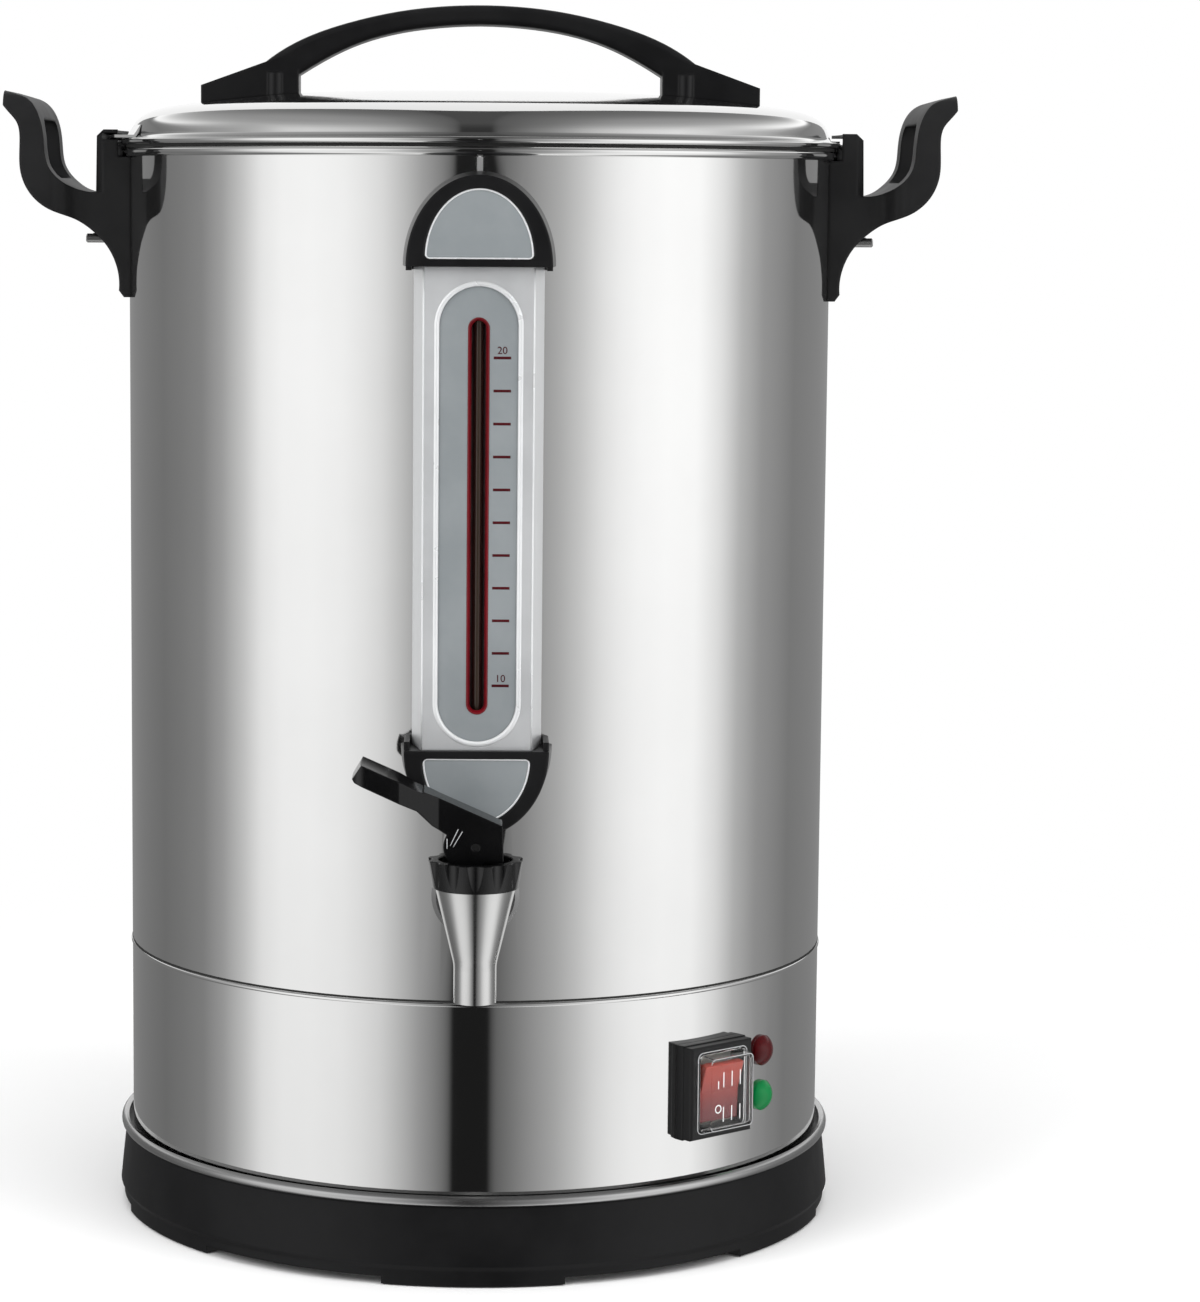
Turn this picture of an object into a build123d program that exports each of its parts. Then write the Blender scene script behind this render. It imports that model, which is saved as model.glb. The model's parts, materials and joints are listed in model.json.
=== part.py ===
from build123d import *
import os
from math import asin, degrees, sqrt

# Coffee urn in millimetres: axis along Z, floor at zero, tap and level gauge on the -Y side.

# Room and overruns shared by all pieces
sheet_thickness = 0.8
fit = 0.05
slip = 0.4
overrun = 2.0

# Vessel: skirt, wall with a rolled rim, and floor
shell_radius = 155.0
base_top = 34.2
skirt_height = 86.4
wall_height = 351.4
seam_gap = 0.6
seam_height = base_top + skirt_height
rim_height = seam_height + wall_height
inner_radius = shell_radius - sheet_thickness
rim_bead_reach = 3.0
rim_bead_radius = shell_radius + rim_bead_reach
rim_bead_height = 3.7
rim_bead_share = 0.55
rim_land = 2.6
floor_step = 0.4
floor_height = seam_height + floor_step
floor_sleeve = 11.0
well_share = 0.2065
well_radius = shell_radius * well_share
well_depth = 9.0
skirt_flange = 11.0

# Base moulding, feet and bottom cover
base_ledge = 3.0
base_bulge = 2.6
base_tuck = 1.4
base_top_radius = shell_radius + base_ledge
base_bulge_radius = base_top_radius + base_bulge
base_foot_radius = base_bulge_radius - base_tuck
base_wall = 4.0
deck_thickness = 3.0
deck_width = 37.0
deck_opening_radius = shell_radius - deck_width
foot_count = 6
foot_spread = 28.0
foot_arch = 3.6
foot_step = 7.0
foot_step_slope = 2.4
foot_depth = 14.0
foot_ring_height = 9.0
pad_radius = 4.5
pad_depth = 1.8
pad_proud = 0.6
cover_lift = 0.6
cover_height = foot_ring_height + cover_lift
cover_sheet = 1.2
cover_gap = 0.8
vent_count = 12
vent_length = 36.0
vent_width = 4.0
vent_share = 0.5
vent_circle = shell_radius * vent_share
boss_radius = 4.5
boss_count = 4
boss_inset = 21.0
boss_circle = shell_radius - boss_inset

# Small screws of the base, the lid and the gauge
screw_radius = 1.6
screw_head_radius = 3.2
screw_head = 1.9
screw_bite = 9.0

# Polished ring round the base
trim_height = 4.9
trim_reach = 2.2
trim_radius = base_top_radius + trim_reach
trim_width = 3.2
trim_crown = 0.9
trim_crown_share = 0.45

# Heaters and controls under the floor
element_share = 0.568
element_circle = shell_radius * element_share
element_radius = 4.0
element_pin_radius = 1.6
element_pin_length = 12.0
element_pin_pitch = 14.0
warm_ring_share = 0.09
warm_ring_width = shell_radius * warm_ring_share
warm_ring_depth = 5.0
control_radius = 9.0
control_depth = 8.0
control_share = 0.413
control_circle = shell_radius * control_share
control_tab = (6.3, 0.8, 9.0)
thermostat_angle = 200.0
cutout_angle = 320.0
block_size = (46.0, 18.0, 15.0)
lead_radius = 1.4

# Cord gland in the back of the skirt
gland_rise = 27.8
gland_height = base_top + gland_rise
gland_bore = 4.0
gland_wall = 4.0
gland_neck = gland_bore + gland_wall
gland_shoulder = 3.0
gland_flange = gland_neck + gland_shoulder
gland_collar = 3.0
gland_dome = 8.0
gland_dome_step = 0.6
gland_dome_radius = gland_neck + gland_dome_step
gland_thread = 13.0
gland_nut_size = gland_flange
gland_nut_length = 5.0

# Rocker switch on the skirt
switch_angle = 40.0
switch_rise = 42.8
switch_height = base_top + switch_rise
rocker_size = (21.0, 25.0)
rocker_side_gap = 2.0
rocker_end_gap = 3.5
bezel_window = (rocker_size[0] + rocker_side_gap * 2, rocker_size[1] + rocker_end_gap * 2)
bezel_border = (5.5, 4.25)
bezel_size = (bezel_window[0] + bezel_border[0] * 2, bezel_window[1] + bezel_border[1] * 2)
bezel_step = 3.2
bezel_inset = 0.4
bezel_depth = 8.2
bezel_chamfer = 0.8
switch_back = 22.0
switch_face = 0.1
rocker_thickness = 5.5
rocker_end_share = 0.3
rocker_back_share = 0.3
rocker_pivot = 2.6
rocker_tilt = 9.0
rocker_ridge = 1.6
trunnion_radius = 1.3
trunnion_length = 1.5
boot_lap = (1.0, 0.8)
boot_size = (bezel_window[0] + boot_lap[0] * 2, bezel_window[1] + boot_lap[1] * 2)
boot_depth = 6.2
boot_wall = 1.2
boot_draft = 1.2
boot_corner = 2.6

# Pilot lamps beside the switch
lamp_angle = 52.7
lamp_rises = (53.1, 33.4)
lamp_heights = tuple(base_top + rise for rise in lamp_rises)
lamp_radius = 6.6
lamp_crown = 3.6
lamp_rim = 1.4
lamp_shoulder = 2.0
lamp_stem = lamp_radius - lamp_shoulder
lamp_depth = 16.0
lamp_holder_wall = 2.9
lamp_holder_radius = lamp_stem + lamp_holder_wall

# Tap: spout, neck and shank
tap_stand = 40.0
tap_reach = shell_radius + tap_stand
shank_rise = 47.4
shank_height = seam_height + shank_rise
shank_bore = 5.5
shank_wall = 2.5
shank_radius = shank_bore + shank_wall
shank_inside = 16.0
spout_drop = 38.5
spout_straight = 15.5
spout_cone = 31.4
spout_outlet = shank_height - spout_drop
spout_waist = spout_outlet + spout_straight
spout_top = spout_waist + spout_cone
spout_bore = 6.0
spout_rim = 2.7
spout_radius = spout_bore + spout_rim
spout_flare = 7.6
spout_top_radius = spout_radius + spout_flare
spout_wall = 2.4
neck_step = 2.1
neck_radius = spout_top_radius - neck_step
neck_height = 4.6
neck_top = spout_top + neck_height
seat_step = 6.0
seat_height = spout_waist + seat_step

# Collar on the shank that carries the gauge tube
socket_radius = 18.0
socket_front = 15.5
socket_boss = 6.6
socket_boss_rise = 22.0
socket_boss_top = shank_height + socket_boss_rise
socket_passage = 2.0
socket_washer = 1.8
tap_nut_step = 6.0
tap_nut_size = shank_radius + tap_nut_step
tap_nut_length = 7.0
tap_washer = 1.6
tap_washer_step = 5.0
tap_washer_radius = shank_radius + tap_washer_step

# Tap bonnet, plunger, stem and spring
bonnet_web = 3.0
web_top = neck_top + bonnet_web
bonnet_rim = 3.7
bonnet_top = web_top + bonnet_rim
bonnet_step = 1.1
bonnet_foot_radius = spout_top_radius + bonnet_step
bonnet_flare = 1.9
bonnet_top_radius = bonnet_foot_radius + bonnet_flare
bonnet_rim_wall = 4.5
bonnet_recess_radius = bonnet_top_radius - bonnet_rim_wall
flute_count = 12
flute_radius = 4.5
flute_depth = 0.9
stem_radius = 3.0
stem_eye = 4.6
seat_cup_lip = 1.4
seat_cup_radius = spout_bore + seat_cup_lip
seat_cup_taper = 1.2
seat_cup_top_radius = seat_cup_radius - seat_cup_taper
seat_cup_length = 6.0
spring_gap = 1.6
spring_wire = 0.6
spring_radius = stem_radius + spring_gap + spring_wire
spring_turns = 5

# Tap lever: its heel stands on the bonnet's web and carries the pivot
cam_radius = 9.5
cam_offset = 3.5
cam_gap = 0.3
pivot_height = web_top + cam_gap + cam_radius
pivot_radius = 1.5
lever_length = 49.5
lever_rise = 33.5
lever_hub_half = 7.5
lever_tip_half = 12.8
lever_tip_corner = 5.0
lever_profile_shares = (
    (-1.0, 0.818),
    (-0.923, 1.0),
    (0.218, 0.254),
    (0.226, -0.19),
    (-0.05, -0.19),
    (-0.22, 0.131),
    (-0.354, 0.26),
    (-0.477, 0.442),
    (-0.98, 0.782),
)
lever_neck_share = 0.30
lever_flare_share = 0.62
lever_end_share = 0.30
fork_room = 0.4
dish_depth = 1.5
dish_reach_share = 0.44

# Black caps at both ends of the level gauge
cap_half = 31.2
cap_front_share = 0.945
cap_depth = 20.0
cap_top_rise = 38.6
cap_bottom_drop = 37.0
cap_border = 7.4
cap_bar = 3.0
insert_recess = 1.6
insert_sheet = 1.2
insert_corner = 2.4
horn_top = 1.6
horn_bottom = 3.4
horn_gap = 0.2
cap_cavity = 9.5
cap_cavity_height = 9.0
cap_screw_pitch = 24.0
cap_screw_share = 0.5
cap_socket_gap = 1.3
hanger_size = (2.4, 1.0)
hanger_gap = 0.8

# Level gauge on the front, between the caps
gauge_rim_drop = 48.1
gauge_bottom = socket_boss_top + cap_socket_gap + cap_bottom_drop
gauge_top = rim_height - gauge_rim_drop
gauge_base_half = 27.0
gauge_front_half = 22.6
gauge_depth = 17.0
gauge_face = 4.2
gauge_channel_half = 9.5
plate_half = 16.4
plate_margins = (3.1, 7.3)
plate_bottom = gauge_bottom + plate_margins[0]
plate_top = gauge_top - plate_margins[1]
plate_recess = 1.8
plate_sheet = 1.0
plate_room = 0.6
slot_half = 4.4
slot_margins = (14.7, 20.2)
slot_bottom = gauge_bottom + slot_margins[0]
slot_top = gauge_top - slot_margins[1]
tube_offset = 0
tube_bore = 1.9
tube_wall = 1.0
tube_radius = tube_bore + tube_wall
tube_depth = 8.8
tube_place = shell_radius + tube_depth
seal_wall = 2.5
seal_radius = tube_radius + seal_wall
seal_length = 7.0
red_strip_half = 6.0
red_strip_sheet = 1.0

# Lid
lid_seal_thickness = 1.2
flange_base = rim_height + lid_seal_thickness
lid_flange_reach = 4.4
lid_flange_radius = shell_radius + lid_flange_reach
lid_flange_height = 2.6
lid_flange_share = 0.45
lid_base = flange_base + lid_flange_height
lid_shoulder_inset = 0.8
lid_shoulder_radius = shell_radius - lid_shoulder_inset
lid_rise = 20.7
lid_flare_rise = 2.1
lid_flare_reach = 2.6
lid_flare_share = 0.3
lid_drop = lid_rise - lid_flare_rise
lid_top = lid_base + lid_rise
lid_spigot = 10.0
lid_spigot_gap = 1.0
lid_dome_shares = (
    (0.0, 0.0),
    (0.15, 0.0005),
    (0.30, 0.002),
    (0.40, 0.006),
    (0.50, 0.020),
    (0.60, 0.075),
    (0.70, 0.160),
    (0.80, 0.260),
    (0.87, 0.335),
    (0.89, 0.360),
    (0.91, 0.392),
    (0.94, 0.463),
    (0.967, 0.575),
    (0.985, 0.700),
    (1.0, 1.0),
)
lid_handle_share = 0.7935
lid_handle_half = shell_radius * lid_handle_share
lid_handle_width = 21.0
lid_handle_drop = 6.5
lid_handle_foot = lid_top - lid_handle_drop
lid_handle_rise = 45.1
lid_handle_edge = 2.6
lid_handle_arch_shares = (
    (0.771, 0.439),
    (0.645, 0.654),
    (0.467, 0.829),
    (0.289, 0.938),
    (0.0, 1.0),
)
lid_handle_grip_shares = (
    (0.650, 0.317),
    (0.574, 0.443),
    (0.467, 0.590),
    (0.289, 0.736),
    (0.146, 0.790),
    (0.0, 0.809),
)
lid_handle_tip_share = 0.213
post_centre_share = 0.735
post_radius = 3.8
post_top_share = 0.34

# Tabs on the lid that turn under the hooks of the side handles
tab_width = 20.0
tab_sheet = 1.2
tab_reach = 5.0
tab_tip_radius = lid_flange_radius + tab_reach
tab_grip = 5.0
tab_lean_share = 0.7
tab_room = 0.9
tab_gap = 0.2

# Side handles: bracket on the vessel and an upswept grip
bracket_gap = 0.9
bracket_face = lid_flange_radius + bracket_gap
handle_reach = 52.2
handle_drop = 65.2
handle_bottom = rim_height - handle_drop
handle_rise = 89.5
handle_grip_half = 38.0
handle_bracket_half = 26.0
tab_clear = 2.4
tab_side = handle_bracket_half + tab_width / 2 + tab_clear
tab_angle = degrees(asin(tab_side / tab_tip_radius))
handle_flare_shares = (0.30, 0.62)
grip_corner = 12.0
grip_slot_half = 25.0
grip_slot_shares = (0.578, 0.862)
grip_slot_corner = 5.0
grip_slot_start_share = 0.40
handle_outer_shares = (
    (0.059, 0.033),
    (0.088, 0.170),
    (0.174, 0.262),
    (0.295, 0.331),
    (0.441, 0.385),
    (0.625, 0.429),
    (0.785, 0.512),
    (0.851, 0.606),
    (0.856, 0.765),
    (0.879, 0.844),
    (0.948, 0.894),
    (0.996, 0.927),
)
handle_inner_shares = (
    (0.853, 0.975),
    (0.755, 0.938),
    (0.692, 0.871),
    (0.657, 0.761),
    (0.625, 0.640),
    (0.527, 0.568),
    (0.250, 0.512),
)
post_shares = ((0.242, 0.784), (0.180, 0.815))
post_chamfer = 3.6
bracket_notch = 0.4
bracket_foot_share = 0.017
bolt_height_share = 0.286
bolt_height = handle_bottom + handle_rise * bolt_height_share
bolt_pitch = 26.0
bolt_radius = 2.0
bolt_head_radius = 4.0
bolt_head = 2.8
bolt_tip = 18.5
nut_radius = 4.0
nut_length = 3.2
nut_seat = 6.0
nut_room = 0.7

# Brewing insert: pump tube, coffee basket and spreader
stem_tube_bore = 5.2
stem_tube_wall = 1.8
stem_tube_radius = stem_tube_bore + stem_tube_wall
stem_top_gap = 10.0
stem_top = rim_height - stem_top_gap
stem_foot_room = 4.0
stem_foot_radius = well_radius - stem_foot_room
stem_foot_height = 14.0
stem_foot_neck = 7.0
stem_foot_sheet = 1.2
basket_drop = 80.0
basket_seat = rim_height - basket_drop
basket_room = 49.2
basket_radius = inner_radius - basket_room
basket_height = 56.0
basket_lip = 3.0
collar_step = 4.0
collar_radius = stem_tube_radius + collar_step
collar_height = 4.0
hole_radius = 2.0
basket_ring_shares = ((0.286, 12), (0.524, 22), (0.762, 32))
spreader_ring_shares = ((0.333, 12), (0.62, 24))
spreader_skirt = 8.0
spreader_crown = 4.0

# Views that sketches are drawn in: from the front and from the right-hand end
front_view = Rot(90, 0, 0)
end_view = Rot(0, 0, 90) * Rot(90, 0, 0)


def spin(*corners):
    """Turned solid about the Z axis through corners given as (radius, height)."""
    outline = Polyline(*[(r, 0, z) for r, z in corners], close=True)
    return revolve(make_face(outline), Axis.Z)


def bar_z(radius, bottom, top, x=0, y=0):
    """Round bar along Z between two heights."""
    return Pos(x, y, (bottom + top) / 2) * Cylinder(radius, top - bottom)


def bar_y(radius, low, high, x=0, z=0):
    """Round bar along Y between two depths."""
    return Pos(x, (low + high) / 2, z) * Rot(90, 0, 0) * Cylinder(radius, high - low)


def bar_x(radius, low, high, y=0, z=0):
    """Round bar along X between two places."""
    return Pos((low + high) / 2, y, z) * Rot(0, 90, 0) * Cylinder(radius, high - low)


def block(low, high):
    """Box between two opposite corners."""
    size = [b - a for a, b in zip(low, high)]
    middle = [(a + b) / 2 for a, b in zip(low, high)]
    return Pos(*middle) * Box(*size)


def around(shape, count, start=0):
    """Copies of a shape spread evenly about the Z axis, the first turned by start degrees."""
    return [Rot(0, 0, start + 360 * i / count) * shape for i in range(count)]


def on_front(shape, angle=0):
    """A shape drawn as x right, y up and z outward, set on the vessel at an angle from the front."""
    return Rot(0, 0, angle) * front_view * shape


def vessel_core():
    """The round space that the steel wall encloses, for backs that lie against the wall."""
    return bar_z(shell_radius, base_top, rim_height)


def screw(length):
    """Pan-head screw with its seat at zero, its shaft up and its head below."""
    head = bar_z(screw_head_radius, -screw_head, 0)
    head = fillet(head.edges().group_by(Axis.Z)[0], screw_head / 2)
    return head + bar_z(screw_radius, 0, length)


def base_moulding():
    """Black ring with a deck for the skirt, six feet, cover bosses and pockets for the pads."""
    wall_inside = base_top_radius - base_wall
    foot_inside = base_foot_radius - foot_depth
    body = spin(
        (foot_inside, pad_proud),
        (base_foot_radius, pad_proud),
        (base_foot_radius, foot_step),
        (base_bulge_radius, foot_step + foot_step_slope),
        (base_top_radius, base_top),
        (deck_opening_radius, base_top),
        (deck_opening_radius, base_top - deck_thickness),
        (wall_inside, base_top - deck_thickness),
        (wall_inside, foot_ring_height),
        (foot_inside, foot_ring_height),
    )
    arch_angle = 360 / foot_count - foot_spread
    section = Polyline(
        (foot_inside - overrun, 0, -overrun),
        (base_bulge_radius + overrun, 0, -overrun),
        (base_bulge_radius + overrun, 0, foot_arch),
        (foot_inside - overrun, 0, foot_arch),
        close=True,
    )
    arch = revolve(make_face(section), Axis.Z, revolution_arc=arch_angle)
    body -= around(arch, foot_count, foot_spread / 2 - 90)
    pocket = bar_z(pad_radius + fit, 0, pad_proud + pad_depth, y=-pad_circle())
    body -= around(pocket, foot_count)
    boss = bar_z(boss_radius, cover_height + cover_sheet, base_top - deck_thickness, x=boss_circle)
    body += around(boss, boss_count, 180 / boss_count)
    pilot_top = cover_height + screw_bite + slip
    pilot = bar_z(screw_radius + fit, 0, pilot_top, x=boss_circle)
    body -= around(pilot, boss_count, 180 / boss_count)
    hole = bar_z(screw_radius + fit, foot_ring_height, base_top + overrun, x=flange_circle())
    body -= around(hole, boss_count)
    return body


def pad_circle():
    """Radius of the circle that the foot pads lie on."""
    return base_foot_radius - foot_depth / 2


def flange_circle():
    """Radius of the circle of the screws between deck and skirt."""
    return inner_radius - skirt_flange / 2


def foot_pads():
    pad = bar_z(pad_radius, 0, pad_proud + pad_depth, y=-pad_circle())
    return Part() + around(pad, foot_count)


def bottom_cover():
    """Steel disc under the wiring space, with vents and screw holes."""
    radius = base_foot_radius - foot_depth - cover_gap
    plate = bar_z(radius, cover_height, cover_height + cover_sheet)
    vent = Pos(vent_circle, 0, cover_height) * SlotOverall(vent_length, vent_width)
    cut = extrude(vent, amount=cover_sheet * 2, both=True)
    plate -= around(cut, vent_count)
    hole = bar_z(screw_radius + fit, cover_height - overrun, cover_height + overrun, x=boss_circle)
    return plate - around(hole, boss_count, 180 / boss_count)


def bottom_cover_screws():
    one = Pos(boss_circle, 0, cover_height) * screw(screw_bite)
    return Part() + around(one, boss_count, 180 / boss_count)


def base_screws():
    """Screws up through the deck into the skirt's inward flange."""
    seat = base_top - deck_thickness
    one = Pos(flange_circle(), 0, seat) * screw(deck_thickness + sheet_thickness + overrun)
    return Part() + around(one, boss_count)


def base_trim_ring():
    """Polished ring with a crowned outer face, standing on the edge of the base."""
    inside = trim_radius - trim_width
    top = base_top + trim_height
    low = (base_top_radius, 0, base_top)
    crown = (trim_radius, 0, base_top + trim_height * trim_crown_share)
    high = (trim_radius - trim_crown * 2, 0, top)
    face = ThreePointArc(low, crown, high)
    rest = Polyline(high, (inside, 0, top - trim_crown), (inside, 0, base_top), low)
    return revolve(make_face([face, rest]), Axis.Z)


def lower_shell():
    """Skirt of steel sheet with an inward flange at its foot and the control cut-outs."""
    top = seam_height - seam_gap / 2
    skirt = spin(
        (inner_radius - skirt_flange, base_top),
        (shell_radius, base_top),
        (shell_radius, top),
        (inner_radius, top),
        (inner_radius, base_top + sheet_thickness),
        (inner_radius - skirt_flange, base_top + sheet_thickness),
    )
    hole = bar_z(screw_radius + fit, base_top - overrun, base_top + overrun, x=flange_circle())
    skirt -= around(hole, boss_count)
    deep = inner_radius / 2
    window = Pos(0, switch_height, deep) * Rectangle(bezel_window[0], bezel_window[1])
    skirt -= on_front(extrude(window, amount=shell_radius), switch_angle)
    for height in lamp_heights:
        bore = Pos(0, height, deep) * Circle(lamp_stem + fit)
        skirt -= on_front(extrude(bore, amount=shell_radius), lamp_angle)
    skirt -= bar_y(gland_neck + fit, deep, shell_radius + overrun, z=gland_height)
    return skirt


def tank_wall():
    """Cylindrical wall with a rolled rim and holes for the tap and the handle bolts."""
    bottom = seam_height + seam_gap / 2
    bead_low = rim_height - rim_bead_height
    under = (shell_radius, 0, bead_low)
    land = (inner_radius + rim_land, 0, rim_height)
    bead = ThreePointArc(under, (rim_bead_radius, 0, rim_height - rim_bead_height * rim_bead_share), land)
    rest = Polyline(
        land,
        (inner_radius, 0, rim_height),
        (inner_radius, 0, bottom),
        (shell_radius, 0, bottom),
        under,
    )
    wall = revolve(make_face([bead, rest]), Axis.Z)
    wall -= bar_y(shank_radius + fit, -shell_radius - overrun, -inner_radius / 2, z=shank_height)
    for side in (-1, 1):
        y = side * bolt_pitch / 2
        wall -= bar_x(bolt_radius + fit, -shell_radius * 2, shell_radius * 2, y, bolt_height)
    for x, height in gauge_screw_places():
        wall -= bar_y(screw_radius + fit, -shell_radius - overrun, -inner_radius / 2, x, height)
    return wall


def tank_floor():
    """Dished floor with a sleeve that bridges the seam and a well for the pump tube."""
    outside = inner_radius - fit
    inside = outside - sheet_thickness
    low = seam_height - floor_sleeve
    high = seam_height + floor_sleeve
    well_floor = floor_height - well_depth
    return spin(
        (0, well_floor - sheet_thickness),
        (well_radius + sheet_thickness, well_floor - sheet_thickness),
        (well_radius + sheet_thickness, floor_height - sheet_thickness),
        (inside, floor_height - sheet_thickness),
        (inside, low),
        (outside, low),
        (outside, high),
        (inside, high),
        (inside, floor_height),
        (well_radius, floor_height),
        (well_radius, well_floor),
        (0, well_floor),
    )


def element_pin_places():
    """Places of the two heater pins on the ring, at the back."""
    half = element_pin_pitch / 2
    return [(side * half, sqrt(element_circle**2 - half**2)) for side in (-1, 1)]


def heating_element():
    """Sheathed open ring under the floor with a pin down from each end."""
    centre = floor_height - sheet_thickness - element_radius
    end_angle = degrees(asin((element_pin_pitch / 2 - element_radius) / element_circle))
    section = Pos(element_circle, 0, centre) * Rot(90, 0, 0) * Circle(element_radius)
    ring = revolve(section, Axis.Z, revolution_arc=360 - end_angle * 2)
    ring = Rot(0, 0, 90 + end_angle) * ring
    for x, y in element_pin_places():
        ring += bar_z(element_pin_radius, centre - element_radius - element_pin_length, centre, x, y)
    return ring


def keep_warm_heater():
    """Flat ring round the well."""
    inside = well_radius + sheet_thickness + slip
    top = floor_height - sheet_thickness
    low = top - warm_ring_depth
    return spin(
        (inside, low),
        (inside + warm_ring_width, low),
        (inside + warm_ring_width, top),
        (inside, top),
    )


def control(angle):
    """Bimetal control: a can on the floor with two flat tabs."""
    top = floor_height - sheet_thickness
    low = top - control_depth
    can = bar_z(control_radius, low, top)
    can = chamfer(can.edges().group_by(Axis.Z)[0], control_depth / 5)
    wide, thick, tall = control_tab
    for side in (-1, 1):
        middle = side * control_radius / 2
        can += block((middle - thick / 2, -wide / 2, low - tall), (middle + thick / 2, wide / 2, low))
    return Rot(0, 0, angle) * Pos(control_circle, 0, 0) * can


def thermostat():
    return control(thermostat_angle)


def boil_dry_cutout():
    return control(cutout_angle)


def terminal_block():
    """Screw block on the bottom cover, under the heater pins."""
    wide, deep, tall = block_size
    middle = element_pin_places()[0][1]
    low = cover_height + cover_sheet
    body = block((-wide / 2, middle - deep / 2, low), (wide / 2, middle + deep / 2, low + tall))
    body = chamfer(body.edges().group_by(Axis.Z)[-1], tall / 10)
    for x, y in element_pin_places():
        body -= bar_z(lead_radius + fit, low + tall / 2, low + tall + overrun, x, y)
    return body


def heater_leads():
    """Insulated leads from the terminal block to sleeves on the heater pins."""
    low = cover_height + cover_sheet + block_size[2] / 2
    pin_low = floor_height - sheet_thickness - element_radius * 2 - element_pin_length
    sleeve = element_pin_length / 2
    leads = Part()
    for x, y in element_pin_places():
        lead = bar_z(lead_radius, low, pin_low, x, y)
        lead += bar_z(element_pin_radius + lead_radius, pin_low - sleeve, pin_low + sleeve, x, y)
        leads += lead - bar_z(element_pin_radius + fit, pin_low, pin_low + element_pin_length, x, y)
    return leads


def cord_gland():
    """Domed gland through the skirt, with the cord's bore along it."""
    skin = shell_radius
    body = bar_y(gland_neck, inner_radius - gland_thread, skin + gland_collar, z=gland_height)
    body += bar_y(gland_flange, skin, skin + gland_collar, z=gland_height)
    dome = bar_y(gland_dome_radius, skin + gland_collar, skin + gland_collar + gland_dome, z=gland_height)
    body += fillet(dome.edges().group_by(Axis.Y)[-1], gland_dome / 3)
    return body - bar_y(gland_bore, 0, skin * 2, z=gland_height)


def gland_nut():
    """Hexagon nut on the gland, inside the skirt."""
    face = sqrt(inner_radius**2 - gland_nut_size**2) - fit
    hexagon = RegularPolygon(gland_nut_size, 6) - Circle(gland_neck + fit)
    nut = extrude(hexagon, amount=gland_nut_length)
    return Pos(0, face, gland_height) * Rot(90, 0, 0) * nut


def switch_bezel():
    """Stepped black frame against the skirt, with a window and pivot holes for the rocker."""
    wide, tall = bezel_size
    back = sqrt(shell_radius**2 - (wide / 2) ** 2) - overrun
    step = shell_radius + bezel_step
    front = shell_radius + bezel_depth
    flange = Pos(0, switch_height, back) * Rectangle(wide, tall)
    frame = extrude(flange, amount=step - back)
    upper = Pos(0, switch_height, step) * Rectangle(wide - bezel_inset * 2, tall - bezel_inset * 2)
    raised = extrude(upper, amount=front - step)
    raised = chamfer(raised.edges().group_by(Axis.Z)[-1], bezel_chamfer)
    frame += raised
    window = Pos(0, switch_height, 0) * Rectangle(bezel_window[0], bezel_window[1])
    frame -= extrude(window, amount=shell_radius * 2)
    pivot = shell_radius + rocker_pivot
    half = bezel_window[0] / 2 + trunnion_length + slip
    frame -= bar_x(trunnion_radius + fit, -half, half, switch_height, pivot)
    return on_front(frame, switch_angle) - vessel_core()


def switch_body():
    """Switch housing behind the window, open to the front round the rocker's back."""
    wide = bezel_window[0] - fit * 2
    tall = bezel_window[1] - fit * 2
    back = inner_radius - switch_back
    face = shell_radius + switch_face
    outer = extrude(Pos(0, switch_height, back) * Rectangle(wide, tall), amount=face - back)
    tab_tall = control_tab[2]
    for side in (-1, 0, 1):
        middle = switch_height + side * tall / 4
        low = (-control_tab[0] / 2, middle - control_tab[1] / 2, back - tab_tall)
        outer += block(low, (control_tab[0] / 2, middle + control_tab[1] / 2, back))
    return on_front(outer, switch_angle)


def switch_rocker():
    """Rocker with a shallow ridge in the middle and a trunnion at each side, lower end pressed in."""
    wide, tall = rocker_size
    front = rocker_thickness
    end = front * rocker_end_share
    profile = Polyline(
        (0, -tall / 2, front),
        (0, 0, front - rocker_ridge),
        (0, tall / 2, front),
        (0, tall / 2, end),
        (0, 0, -rocker_thickness * rocker_back_share),
        (0, -tall / 2, end),
        close=True,
    )
    body = extrude(make_face(profile), amount=wide / 2, dir=(1, 0, 0), both=True)
    half = bezel_window[0] / 2 + trunnion_length
    body += bar_x(trunnion_radius, -half, half)
    place = Pos(0, switch_height, shell_radius + rocker_pivot)
    return on_front(place * Rot(rocker_tilt, 0, 0) * body, switch_angle)


def switch_cover():
    """Clear splash boot over the rocker: an open box with draft and rounded corners."""
    base = shell_radius + bezel_depth

    def skin(inset, depth):
        wide, tall = (size - inset * 2 for size in boot_size)
        corner = boot_corner - inset
        low = Pos(0, switch_height, base) * RectangleRounded(wide, tall, corner)
        draft = boot_draft * 2
        high = Pos(0, switch_height, base + depth) * RectangleRounded(wide - draft, tall - draft, corner)
        return loft([low.face(), high.face()], ruled=True)

    boot = skin(0, boot_depth) - skin(boot_wall, boot_depth - boot_wall)
    return on_front(boot, switch_angle)


def lamp_lens(height):
    """Domed lens with a rim against the skirt and a stem through it."""
    back = sqrt(shell_radius**2 - lamp_radius**2) - overrun
    rim = shell_radius + lamp_rim
    stem = bar_z(lamp_stem, inner_radius - lamp_rim, rim)
    skirt = bar_z(lamp_radius, back, rim)
    dome_radius = (lamp_radius**2 + lamp_crown**2) / (lamp_crown * 2)
    ball = Pos(0, 0, rim + lamp_crown - dome_radius) * Sphere(dome_radius)
    cap = ball & bar_z(lamp_radius, rim, rim + lamp_crown)
    shell_here = Pos(0, -height, 0) * front_view.inverse() * vessel_core()
    lens = skirt - shell_here + cap + stem
    return on_front(Pos(0, height, 0) * lens, lamp_angle)


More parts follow.
